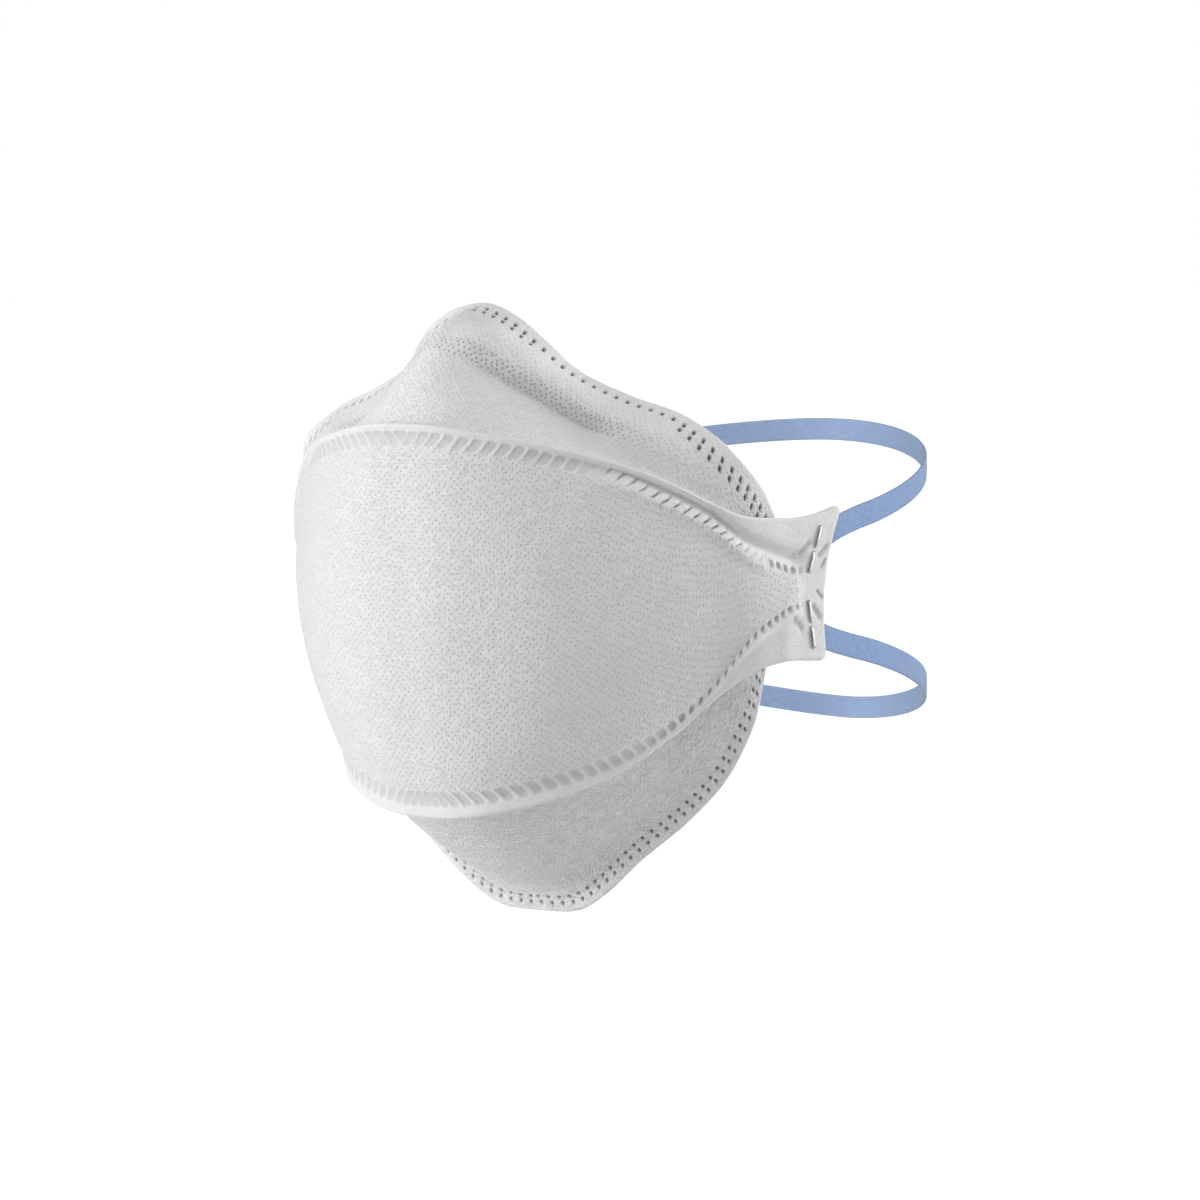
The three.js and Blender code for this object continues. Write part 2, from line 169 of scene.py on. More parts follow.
def section_line(name: str, station: np.ndarray) -> np.ndarray:
    """Follow a line of the sections from the right knot at station -1 to the left knot at 1.

    Args:
        name: The line's key in SECTION_LINES.
        station: Stations of any shape.

    Returns:
        Points in millimetres.
    """
    left = np.array(SECTION_LINES[name], float)
    right = left[:0:-1] * MIRROR
    return spline(np.vstack([right, left]), (np.asarray(station) + 1.0) / 2.0)


def section_size(name: str, station: np.ndarray) -> np.ndarray:
    """Follow a size of the sections with a smooth curve through its rows.

    Args:
        name: The size's key in SECTION_SIZES.
        station: Stations of any shape.

    Returns:
        Millimetres for each station.
    """
    left = np.array(SECTION_SIZES[name], float)[:, None]
    return spline(np.vstack([left[:0:-1], left]), (np.asarray(station) + 1.0) / 2.0)[..., 0]


def outward(name: str, station: np.ndarray) -> np.ndarray:
    """Find the level direction out of the mask that is square to a section line."""
    step = 0.01
    ahead = section_line(name, np.minimum(station + step, 1.0))
    behind = section_line(name, np.maximum(station - step, -1.0))
    return unit(np.cross(ahead - behind, UP))


def section_length(name: str, station: np.ndarray) -> np.ndarray:
    """Length of a section line from the middle of the mask to each station, positive on both halves."""
    fine = np.linspace(0.0, 1.0, 800)
    return np.interp(np.abs(station), fine, lengths_along(section_line(name, fine)))


def even_stations(length: np.ndarray, half_columns: int) -> np.ndarray:
    """Place stations so that a length which grows along the mask grows evenly.

    Args:
        length: The length at each of FINE_STATIONS.
        half_columns: How many columns each half of the mask has.

    Returns:
        Stations as (columns, 1).
    """
    return np.interp(np.linspace(0.0, length[-1], 2 * half_columns + 1), length, FINE_STATIONS)[:, None]


def even_shares(count: int) -> np.ndarray:
    """Shares of so many rows that lie evenly between 0 and 1."""
    return np.linspace(0.0, 1.0, count + 2)[1:-1]


def averaged(surface: Callable[[np.ndarray], np.ndarray], distance: np.ndarray, reach: float) -> np.ndarray:
    """Average a surface along its columns with the bell-shaped weights exp(-x^2 / 1.6), x from -2 to 2.

    Args:
        surface: Gives the points at some distances up each column.
        distance: Distances up each column as (columns, rows).
        reach: Millimetres that x = 1 stands for.

    Returns:
        The points, with their creases rounded.
    """
    offsets = np.linspace(-2.0, 2.0, 9)
    weights = np.exp(-offsets ** 2 / 1.6)
    parts = [w * surface(distance + o * reach) for o, w in zip(offsets, weights)]
    return sum(parts) / weights.sum()


def grid_normals(grid: np.ndarray) -> np.ndarray:
    """Take the cross product of the two directions of a grid of points, scaled to length one."""
    return unit(np.cross(np.gradient(grid, axis=0), np.gradient(grid, axis=1)))


def rounding(distance: np.ndarray, radius: float, least: float = 0.2) -> np.ndarray:
    """Thin a wall towards its rim as a quarter circle, down to the least share of its thickness."""
    part = np.clip(distance / radius, 0.0, 1.0)
    return np.maximum(np.sqrt(1.0 - (1.0 - part) ** 2), least)


def ripple(across: np.ndarray, along: np.ndarray, size: float) -> np.ndarray:
    """Sum four slow sine waves that run in different directions, as the unevenness of soft cloth.

    Each row of waves holds the radians for each millimetre across and along, the angle at the start and
    the share of the height.

    Args:
        across: Millimetres along one direction of the cloth.
        along: Millimetres along the other.
        size: Height of the largest wave in millimetres.

    Returns:
        Heights in millimetres.
    """
    waves = ((0.105, 0.061, 0.4, 1.0), (-0.071, 0.152, 2.1, 0.7), (0.198, -0.087, 4.0, 0.45),
             (0.043, 0.236, 5.2, 0.4))
    return size * sum(share * np.sin(a * across + b * along + turn) for a, b, turn, share in waves)


def mesh_object(name: str, points: np.ndarray, faces: list, cloth_map: np.ndarray | None = None,
                marks: dict[str, np.ndarray] | None = None) -> bpy.types.Object:
    """Put worked-out points and faces into a smooth mesh object at the origin.

    Args:
        name: Name of the object.
        points: Points in millimetres.
        faces: Corner numbers of each face.
        cloth_map: Millimetres across and along the cloth for each point, kept as its UV map.
        marks: Numbers from 0 to 1 for each point, by the name of the mesh attribute that holds them.

    Returns:
        The new object, linked to the scene.
    """
    mesh = bpy.data.meshes.new(name)
    mesh.from_pydata((points * MM).tolist(), [], faces)
    mesh.shade_smooth()
    if cloth_map is not None:
        corners = np.empty(len(mesh.loops), dtype=np.int32)
        mesh.loops.foreach_get("vertex_index", corners)
        layer = mesh.uv_layers.new(name="cloth")
        layer.data.foreach_set("uv", cloth_map[corners].astype(np.float32).ravel())
    for label, values in (marks or {}).items():
        attribute = mesh.attributes.new(label, "FLOAT", "POINT")
        attribute.data.foreach_set("value", values.astype(np.float32).ravel())
    mesh.update()
    piece = bpy.data.objects.new(name, mesh)
    bpy.context.scene.collection.objects.link(piece)
    return piece


def grid_faces(numbers: np.ndarray, turned: bool) -> np.ndarray:
    """Join a grid of point numbers with four-cornered faces.

    Args:
        numbers: Point numbers, columns by rows.
        turned: Whether the faces look the other way.

    Returns:
        One row of four point numbers for each face.
    """
    corners = [numbers[:-1, :-1], numbers[1:, :-1], numbers[1:, 1:], numbers[:-1, 1:]]
    if turned:
        corners.reverse()
    return np.stack([c.ravel() for c in corners], axis=-1)


def rim_faces(fine: np.ndarray, coarse: np.ndarray, picks: np.ndarray, turned: bool) -> np.ndarray:
    """Join a finely divided rim to a coarse one with triangles.

    Each fine step gets a triangle to the nearer coarse point, and each coarse step gets a triangle to
    the fine point half way along it.

    Args:
        fine: Point numbers along the fine rim.
        coarse: Point numbers along the coarse rim.
        picks: Where each coarse point lies in the fine rim.
        turned: Whether the faces look the other way.

    Returns:
        One row of three point numbers for each face.
    """
    middle = (picks[:-1] + picks[1:] + 1) // 2
    steps = np.arange(len(fine) - 1)
    nearer = np.searchsorted(middle, steps, side="right")
    first = np.stack([fine[steps], fine[steps + 1], coarse[nearer]], axis=-1)
    second = np.stack([coarse[1:], coarse[:-1], fine[middle]], axis=-1)
    faces = np.vstack([first, second])
    return faces[:, ::-1] if turned else faces


def picked(count: int, step: int) -> np.ndarray:
    """Pick the numbers below count that lie a step apart, and the last one."""
    return np.unique(np.append(np.arange(0, count, step), count - 1))


def wall_faces(base: np.ndarray, heights: np.ndarray, half: np.ndarray,
               relief: np.ndarray) -> tuple[np.ndarray, np.ndarray]:
    """Set the two faces of a wall off from its middle surface, square to it.

    Args:
        base: Points of the middle surface in millimetres, columns by rows.
        heights: Millimetres by which both faces are raised.
        half: Half the thickness.
        relief: Millimetres by which the outer face is raised further.

    Returns:
        Points of the outer and of the inner face.
    """
    normals = grid_normals(base)
    middle = base + normals * heights[..., None]
    return middle + normals * (half + relief)[..., None], middle - normals * half[..., None]


def cloth_wall(name: str, outer: np.ndarray, inner: np.ndarray, cloth_map: np.ndarray,
               marks: dict[str, np.ndarray], column_step: int = 4, row_step: int = 2) -> bpy.types.Object:
    """Build a closed wall of cloth with a fine outer face and a coarser inner face.

    Args:
        name: Name of the object.
        outer: Grid of outer points in millimetres, columns by rows.
        inner: Grid of inner points of the same size.
        cloth_map: Millimetres across and along the cloth for each grid point.
        marks: How hard each grid point is pressed, with painted shade in the welds' pits and notches, how
            plain its
        cloth is and how strongly it gets the painted shade of the steep face above the nose crease, by name.
        The inner face isn't pressed.
        column_step: How many columns each step of the inner face spans.
        row_step: How many rows each step of the inner face spans.

    Returns:
        The wall as one object.
    """
    columns, rows = outer.shape[:2]
    pick_columns, pick_rows = picked(columns, column_step), picked(rows, row_step)
    keep = np.ix_(pick_columns, pick_rows)
    fine = np.arange(columns * rows).reshape(columns, rows)
    coarse = columns * rows + np.arange(len(pick_columns) * len(pick_rows)).reshape(len(pick_columns), -1)
    points = np.vstack([outer.reshape(-1, 3), inner[keep].reshape(-1, 3)])
    mapped = np.vstack([cloth_map.reshape(-1, 2), cloth_map[keep].reshape(-1, 2)])
    marks = {label: np.concatenate([values.ravel(), values[keep].ravel() * (label != "pressed")])
             for label, values in marks.items()}
    quads = np.vstack([grid_faces(fine, False), grid_faces(coarse, True)])
    rims = np.vstack([
        rim_faces(fine[:, 0], coarse[:, 0], pick_columns, True),
        rim_faces(fine[:, -1], coarse[:, -1], pick_columns, False),
        rim_faces(fine[0], coarse[0], pick_rows, False),
        rim_faces(fine[-1], coarse[-1], pick_rows, True),
    ])
    return mesh_object(name, points, quads.tolist() + rims.tolist(), mapped, marks)


@dataclass(frozen=True)
class WeldTeeth:
    """A row of slanted teeth pressed along a weld, numbered from 0 in the middle of the mask.

    From the middle outwards the teeth are wide flat recesses with ridges between them. They shrink to
    small pits over the numbers pits_from, and between the numbers fingers_between the cloth stands up
    as rounded fingers with notches between them. Pairs of values are where a change starts and ends.
    """

    line: str
    at_sections: tuple[float, ...]
    pits_from: tuple[float, float]
    pit_half_width: float
    pit_half_height: float
    fingers_between: tuple[float, float] | None = None
    half_height: float = 1.75
    half_width: float = 1.3
    recess_rim: tuple[float, float] = (0.6, 1.4)
    ridge_rim: tuple[float, float] = (-0.6, 0.2)
    row_ends: tuple[float, float] = (1.3, 1.7)
    lowering: float = 0.0
    lowered_over: tuple[float, float] = (16.0, 21.0)
    slant: float = 0.95
    finger_slant: float = 1.15
    pit_slant_loss: float = 0.85
    straightening: float = 0.5
    depth: float = 0.14
    pit_depth: float = 0.55
    ridge_height: float = 0.09
    finger_start: float = 3.0
    finger_stop: float = 1.0
    finger_height: float = 0.6
    finger_reach: float = 2.2
    finger_round: float = 0.8
    finger_root: tuple[float, float] = (-3.8, -1.0)
    finger_sinks: tuple[float, float] = (-8.0, -1.0)
    finger_sink: float = 0.5
    finger_fill: float = 0.95
    notch_phase: tuple[float, float] = (0.36, 0.48)
    notch_root: tuple[float, float] = (-1.8, 0.2)
    notch_tip: tuple[float, float] = (1.4, 2.6)
    notch_share: float = 0.65
    # Colour darkening of the teeth: pressed grey in the recesses, pressed grey with painted shade in the
    # pits, and painted shade in the notches between the fingers
    shade: float = 0.2
    pit_shade: float = 0.42
    notch_shade: float = 0.13

    def numbers(self, station: np.ndarray) -> np.ndarray:
        """Number the teeth along one half by a curve through the numbers at the sections."""
        counts = np.array(self.at_sections, float)[:, None]
        return spline(counts, np.abs(station))[..., 0]

    def pitch(self, station: np.ndarray) -> np.ndarray:
        """Length of the weld that each tooth takes up, as the slope of length over number."""
        fine = np.linspace(0.0, 1.0, 400)
        slope = np.gradient(lengths_along(section_line(self.line, fine)), self.numbers(fine))
        return np.interp(np.abs(station), fine, slope)

    def finger_share(self, number: np.ndarray) -> np.ndarray:
        """How far the teeth at each number are fingers, from 0 to 1."""
        if self.fingers_between is None:
            return np.zeros_like(number)
        first, last = self.fingers_between
        started = smooth(number, first - self.finger_start, first + self.finger_start)
        return started * (1.0 - smooth(number, last - self.finger_stop, last + self.finger_stop))

    def phase(self, number: np.ndarray, distance: np.ndarray, pitch: np.ndarray) -> np.ndarray:
        """Share of the pitch from each place to the middle of the nearest tooth.

        The middles lie where number - slant * shift / pitch is whole, and shift is the distance less a
        square term that grows towards the loose edge, which bends the recesses upright.

        Args:
            number: Number of each column, as (columns, 1).
            distance: Millimetres from the weld, as (columns, rows).
            pitch: Length that each tooth takes up, as (columns, 1).

        Returns:
            Shares from 0 to a half.
        """
        fingered = self.finger_share(number)
        past = np.clip(distance + self.half_height, 0.0, 2 * self.half_height)
        shift = distance - self.straightening * (1.0 - fingered) * past ** 2 / (4 * self.half_height)
        slant = blend(self.slant, self.finger_slant, fingered)
        slant = slant * (1.0 - self.pit_slant_loss * smooth(number, *self.pits_from))
        phase = number - slant * shift / pitch
        return np.abs(phase - np.round(phase))

    def fingers(self, number: np.ndarray, distance: np.ndarray,
                phase: np.ndarray) -> tuple[np.ndarray, np.ndarray]:
        """Work out the notches and the fingers, which have the section (1 - (2 * phase)^4)^0.5.

        Args:
            number: Number of each column, as (columns, 1).
            distance: Millimetres from the weld, as (columns, rows).
            phase: Share of the pitch from the middle of the nearest tooth.

        Returns:
            Heights in millimetres and how far each place lies in a notch, from 0 to 1.
        """
        if self.fingers_between is None:
            return np.zeros_like(phase), np.zeros_like(phase)
        fingered = self.finger_share(number)
        flat_top = np.sqrt(np.clip(1.0 - (2 * phase) ** 4, 0.0, 1.0))
        length = smooth(self.finger_reach * flat_top - distance, 0.0, self.finger_round)
        finger = fingered * length * smooth(distance, *self.finger_root) * flat_top
        notch = fingered * smooth(phase, *self.notch_phase) * smooth(distance, *self.notch_root)
        notch *= 1.0 - smooth(distance, *self.notch_tip)
        sunk = self.finger_sink * smooth(number - self.fingers_between[1], *self.finger_sinks)
        return self.finger_height * (1.0 - sunk) * (finger - self.notch_share * notch), notch

    def press(self, station: np.ndarray, distance: np.ndarray,
              run_on: np.ndarray) -> tuple[np.ndarray, np.ndarray]:
        """Work out the pressed teeth.

        A recess is the inside of the superellipse (x / half_width)^4 + (y / half_height)^4 round the
        middle of each tooth, and the ridges are what is left between the recesses.

        Args:
            station: Station of each column, as (columns, 1).
            distance: Millimetres from the weld towards the loose edge, as (columns, rows).
            run_on: Millimetres that each column lies past the knot.

        Returns:
            Heights in millimetres and how hard each place is pressed, with painted shade in the pits and in
            the notches between the fingers.
        """
        pitch = self.pitch(station)
        number = self.numbers(station) + run_on / pitch
        distance = distance + self.lowering * smooth(number, *self.lowered_over)
        phase = self.phase(number, distance, pitch)
        small = smooth(number, *self.pits_from)
        fingered = self.finger_share(number)
        high = blend(self.half_height, self.pit_half_height, small)
        wide = blend(self.half_width, self.pit_half_width, small)
        inside = (phase * pitch / wide) ** 4 + (np.abs(distance) / high) ** 4
        there = 1.0 - smooth(number - self.at_sections[-1], *self.row_ends)
        recess = (1.0 - smooth(inside, *self.recess_rim)) * there * (1.0 - self.finger_fill * fingered)
        band = smooth(self.half_height - np.abs(distance), *self.ridge_rim)
        ridge = (1.0 - recess) * band * there * (1.0 - fingered) * (1.0 - small)
        raised, notch = self.fingers(number, distance, phase)
        height = self.ridge_height * ridge - blend(self.depth, self.pit_depth, small) * recess + raised
        # The notches are darkened as painted shade, and the pits' grey includes painted shade
        return height, np.maximum(blend(self.shade, self.pit_shade, small) * recess, self.notch_shade * notch)


@dataclass(frozen=True)
class Seam:
    """A weld of the front panel: its teeth, the dip along it and the swelling inside it near the tab.

    The dip is even_dip deep and grows by neck_dip over the stations neck_from, where it also moves
    neck_shift towards the loose edge and gets narrower.
    """

    teeth: WeldTeeth
    even_dip: float
    neck_dip: float
    neck_shift: float
    neck_from: tuple[float, float]
    neck_swell: float = 0.0
    dip_place: float = 0.3
    dip_width: float = 2.2
    neck_narrowing: float = 0.6
    rim_reach: float = 2.4
    swell_place: float = -3.0
    swell_width: float = 1.7
    swell_ends: tuple[float, float] = (0.85, 1.0)

    def heights(self, side: np.ndarray, distance: np.ndarray) -> np.ndarray:
        """Add up the swelling and the dip, both as bell curves exp(-x^2) across the weld.

        Args:
            side: Stations without their sign, as (columns, 1).
            distance: Millimetres from the weld towards the loose edge, as (columns, rows).

        Returns:
            Heights in millimetres.
        """
        neck = smooth(side, *self.neck_from)
        to_rim = distance.max(axis=1, keepdims=True) - distance
        across = distance - self.dip_place - self.neck_shift * neck
        across = across / (self.dip_width - self.neck_narrowing * neck)
        dip = self.even_dip + self.neck_dip * neck * smooth(to_rim, 0.0, self.rim_reach)
        dip = dip * np.exp(-across ** 2)
        swell = self.neck_swell * neck * (1.0 - smooth(side, *self.swell_ends))
        return swell * np.exp(-((distance - self.swell_place) / self.swell_width) ** 2) - dip


@dataclass(frozen=True)
class WeldDots:
    """Small slanted dots pressed along the nose edge or the chin edge."""

    pitch: float = 3.0
    half_width: float = 0.42
    half_length: float = 0.65
    lean: float = 0.4
    depth: float = 0.55

    def press(self, along: np.ndarray, distance: np.ndarray, shift: float = 0.0) -> np.ndarray:
        """Work out one row of dots as soft-sided rectangles exp(-(x^4 + y^4)).

        Args:
            along: Millimetres from the middle of the mask, positive on both halves.
            distance: Millimetres from the row of dots.
            shift: Share of the pitch by which the row is moved along.

        Returns:
            How hard each place is pressed, from 0 to 1.
        """
        number = along / self.pitch - shift
        offset = (number - np.round(number)) * self.pitch + self.lean * distance
        return np.exp(-((offset / self.half_width) ** 4 + (distance / self.half_length) ** 4))


@dataclass(frozen=True)
class TabPlane:
    """The flat tab beside the left knot: its plane, its outline and the places on it."""

    knot_x: float = 69.4
    knot_y: float = 16.3
    heading: float = math.radians(70.0)
    heights: tuple[float, ...] = (-16.7, -9.0, -1.0, 7.0, 14.0, 20.9)
    reaches: tuple[float, ...] = (10.5, 9.8, 9.7, 10.8, 12.8, 15.5)
    top_at_knot: float = 17.3
    bottom_at_knot: float = -16.1
    corner_radius: float = 2.2
    upper_radius: float = 3.4
    corner_share: float = 0.96

    @property
    def along(self) -> np.ndarray:
        """Level direction from the knot to the tab's end."""
        return np.array([math.cos(self.heading), math.sin(self.heading), 0.0])

    @property
    def out(self) -> np.ndarray:
        """Direction out of the mask, square to the tab."""
        return np.array([math.sin(self.heading), -math.cos(self.heading), 0.0])

    def point(self, reach: np.ndarray, height: np.ndarray, out: np.ndarray | float = 0.0) -> np.ndarray:
        """Find a point from its reach, height and distance out of the plane.

        Args:
            reach: Millimetres from the knot.
            height: Millimetres above the origin.
            out: Millimetres out of the plane.

        Returns:
            Points in millimetres.
        """
        reach, height, out = np.broadcast_arrays(*(np.asarray(v, float) for v in (reach, height, out)))
        foot = np.array([self.knot_x, self.knot_y, 0.0])
        return foot + reach[..., None] * self.along + height[..., None] * UP + out[..., None] * self.out

    def end(self, height: np.ndarray) -> np.ndarray:
        """Reach of the hollow end at each height, as straight stretches between rows."""
        return np.interp(height, self.heights, self.reaches)

    def column(self, part: np.ndarray, share: np.ndarray) -> tuple[np.ndarray, np.ndarray]:
        """Lay out columns of the tab between its lower and upper edges, with rounded corners.

        The edges run from their heights at the knot to the corners, the upper one as the square of
        part, and within a corner radius of the end they turn in as a quarter circle.

        Args:
            part: Share of the way to the end, as (columns, 1).
            share: Share of the way from the lower edge to the upper one, as (1, rows).

        Returns:
            Reaches and heights.
        """
        low = self.bottom_at_knot + (self.heights[0] - self.bottom_at_knot) * part
        high = self.top_at_knot + (self.heights[-1] - self.top_at_knot) * part ** 2
        cut = []
        for reach, radius in ((self.reaches[0], self.corner_radius), (self.reaches[-1], self.upper_radius)):
            into = np.clip(reach * part - (reach - radius), 0.0, radius)
            cut.append(self.corner_share * (radius - np.sqrt(radius ** 2 - into ** 2)))
        height = blend(low + cut[0], high - cut[1], share)
        return self.end(height) * part, height


@dataclass
class FrontPanel:
    """The bow-tie front panel with its welded seams, loose flanges and side tabs.

    Pairs of values are where a change starts and ends. A dash is a weld mark of the layers on the tab,
    given by the reach and height of both ends and its half width.
    """

    thickness: float = 1.4
    half_columns: int = 400
    middle_rows: int = 26
    flange_rows_between: int = 11
    tab_columns: int = 40
    tab_reach: float = 12.0
    lean: float = 0.14
    swell_skew: float = 0.8
    side_swell: float = 0.5
    side_swell_over: tuple[float, float] = (0.7, 0.97)
    soften: float = 1.1
    rim_radius: float = 0.7
    thin_rim: float = 0.3
    ripple_height: float = 0.16
    tab_ripple_share: float = 0.2
    flat_size: tuple[float, float] = (0.236, 0.094)
    flat_area: float = 0.0150
    upper_seam: Seam = Seam(
        WeldTeeth("top_weld", (0, 3, 6, 10, 15, 20, 25, 30, 36), pits_from=(32.4, 33.2), pit_half_width=0.6,
                  pit_half_height=0.8, fingers_between=(15.0, 32.0), lowering=1.1),
        even_dip=0.35, neck_dip=1.3, neck_shift=1.7, neck_from=(0.34, 0.6), neck_swell=0.6)
    lower_seam: Seam = Seam(
        WeldTeeth("bottom_weld", (0, 3, 6, 10, 15, 20, 25, 30, 35.5), pits_from=(17.0, 25.0),
                  pit_half_width=0.56, pit_half_height=0.78, half_width=1.15),
        even_dip=0.3, neck_dip=-1.5, neck_shift=0.6, neck_from=(0.45, 0.93))
    seam_fade: float = 4.5
    tab: TabPlane = TabPlane()
    ease_columns: int = 18
    ease_spread: float = 7.5
    eased_within: tuple[float, float] = (8.0, 26.0)
    near_weld: tuple[float, ...] = (0.4, 0.8, 1.2, 1.6, 2.0, 2.4)
    near_rim: tuple[float, ...] = (0.9, 0.5, 0.22, 0.06, 0.0)
    near_end: tuple[float, ...] = (0.9, 0.6, 0.3, 0.1, 0.0)
    flange_gap: float = 0.2
    near_share: float = 0.42
    dashes: tuple[tuple[float, ...], ...] = (
        (2.5, 9.3, 4.9, 11.4, 0.72), (7.7, 8.3, 10.2, 10.6, 0.6), (8.5, 5.6, 9.6, 7.2, 0.46),
        (0.2, -6.0, 2.6, -8.6, 0.72), (6.1, -3.8, 7.9, -6.2, 0.72), (7.2, -0.1, 8.6, -1.6, 0.46))
    dash_rim: tuple[float, float] = (0.45, 1.25)
    dash_depth: float = 0.38
    dash_shade: float = 0.3
    plain_beyond: tuple[float, float] = (-3.0, 0.0)
    plain_faded: tuple[float, float] = (0.3, 1.0)
    plain_pressed: tuple[float, float] = (0.03, 0.12)

    def stations(self) -> np.ndarray:
        """Stations of the columns, spaced evenly along the upper weld and the line between the welds."""
        top, bottom = section_line("top_weld", FINE_STATIONS), section_line("bottom_weld", FINE_STATIONS)
        return even_stations(lengths_along(top) + lengths_along((top + bottom) / 2), self.half_columns)

    def flange_rows(self, width: np.ndarray) -> np.ndarray:
        """Distances from a weld to its rim, close together at the teeth and at the rim."""
        far = width - self.near_rim[0]
        near = np.minimum(1.0, far / (self.near_weld[-1] + self.flange_gap)) * np.array(self.near_weld)
        between = blend(near[:, -1:], far, even_shares(self.flange_rows_between))
        return np.hstack([near, between, width - np.array(self.near_rim)])

    def rows(self, station: np.ndarray, height: np.ndarray) -> np.ndarray:
        """Distances up each column: below zero on the lower flange, above the panel's height on the upper.

        Args:
            station: Stations as (columns, 1).
            height: Distance between the two welds as (columns, 1).

        Returns:
            Distances as (columns, rows).
        """
        lower = -self.flange_rows(section_size("bottom_flange", station))[:, ::-1]
        upper = self.flange_rows(section_size("top_flange", station)) + height
        tight = np.minimum(1.0, self.near_share * height / self.near_weld[-1])
        near = tight * np.array(self.near_weld)
        between = blend(near[:, -1:], height - near[:, -1:], even_shares(self.middle_rows))
        zero = np.zeros_like(height)
        return np.hstack([lower, zero, near, between, height - near[:, ::-1], height, upper])

    def surface(self, station: np.ndarray, distance: np.ndarray) -> np.ndarray:
        """Follow one column of the panel.

        Between the welds it is the straight rise plus swell * sin(pi * part^skew) outward, and
        beyond each weld it runs on straight with a slight lean outward.

        Args:
            station: Stations as (columns, 1).
            distance: Distances up each column as (columns, rows).

        Returns:
            Points as (columns, rows, 3).
        """
        station = np.broadcast_to(station, distance.shape)
        top, bottom = section_line("top_weld", station), section_line("bottom_weld", station)
        height = np.linalg.norm(top - bottom, axis=-1)
        rise = (top - bottom) / height[..., None]
        out_top, out_bottom = outward("top_weld", station), outward("bottom_weld", station)
        lean = (self.lean * (1.0 - np.abs(station)))[..., None]
        part = np.clip(distance / height, 0.0, 1.0)
        swell = section_size("front_swell", station) * np.sin(np.pi * part ** self.swell_skew)
        below = np.clip(-distance, 0.0, None)[..., None] * unit(out_bottom * lean - rise)
        above = np.clip(distance - height, 0.0, None)[..., None] * unit(rise + out_top * lean)
        return bottom + (top - bottom) * part[..., None] + out_top * swell[..., None] + below + above

    def tab_grid(self, knot: np.ndarray) -> tuple[np.ndarray, np.ndarray]:
        """Lay out the columns of the tab, with their rows spaced as those of the knot's column.

        Args:
            knot: Points of the knot's column.

        Returns:
            Reaches and heights on the tab.
        """
        share = (knot[:, 2] - knot[0, 2]) / (knot[-1, 2] - knot[0, 2])
        even = np.linspace(0.0, 1.0, self.tab_columns + 1)[1:-3]
        part = np.concatenate([even, 1.0 - np.array(self.near_end) / self.tab_reach])
        return self.tab.column(part[:, None], share[None, :])

    @staticmethod
    def with_tabs(on_tab: np.ndarray, on_panel: np.ndarray) -> np.ndarray:
        """Put the values of the tab's columns at both ends of the panel's, in turned order at the right."""
        return np.vstack([on_tab[::-1], on_panel, on_tab])

    def relief(self, station: np.ndarray, distance: np.ndarray, height: np.ndarray, fade: np.ndarray,
               run_on: np.ndarray) -> tuple[np.ndarray, np.ndarray, np.ndarray]:
        """Add up what stands out of the panel's smooth face or is pressed into it.

        Args:
            station: Station of each column, 1 on the tabs, as (columns, 1).
            distance: Distances up each column as (columns, rows).
            height: Distance between the welds as (columns, 1).
            fade: 1 on the panel, falling to 0 out on the tab, as (columns, 1).
            run_on: Millimetres that each column lies past the knot, as (columns, 1).

        Returns:
            Heights of both faces, extra heights of the outer face, and how hard it is pressed, with painted
            shade in the pits and in the notches between the fingers.
        """
        side = np.abs(station)
        part = np.clip(distance / height, 0.0, 1.0)
        both = self.side_swell * smooth(side, *self.side_swell_over) * np.sin(np.pi * part)
        outer, pressed = np.zeros_like(distance), np.zeros_like(distance)
        for beyond, seam in ((distance - height, self.upper_seam), (-distance, self.lower_seam)):
            raised, marks = seam.teeth.press(station, beyond, run_on)
            both += seam.heights(side, beyond)
            outer += raised * fade
            # The marks hold the pressed grey of the teeth and the painted shade of their pits and notches
            pressed += marks * fade
        return both * fade, outer, pressed

    def half_thickness(self, distance: np.ndarray) -> np.ndarray:
        """Half the wall's thickness at each place, thinned towards the long rims and both ends."""
        from_rim = np.minimum(distance - distance[:, :1], distance[:, -1:] - distance)
        column = np.arange(len(distance))
        last_columns = np.arange(len(self.near_end))
        from_end = np.interp(np.minimum(column, column[::-1]), last_columns, self.near_end[::-1])
        return self.thickness / 2 * rounding(np.minimum(from_rim, from_end[:, None]), self.rim_radius)

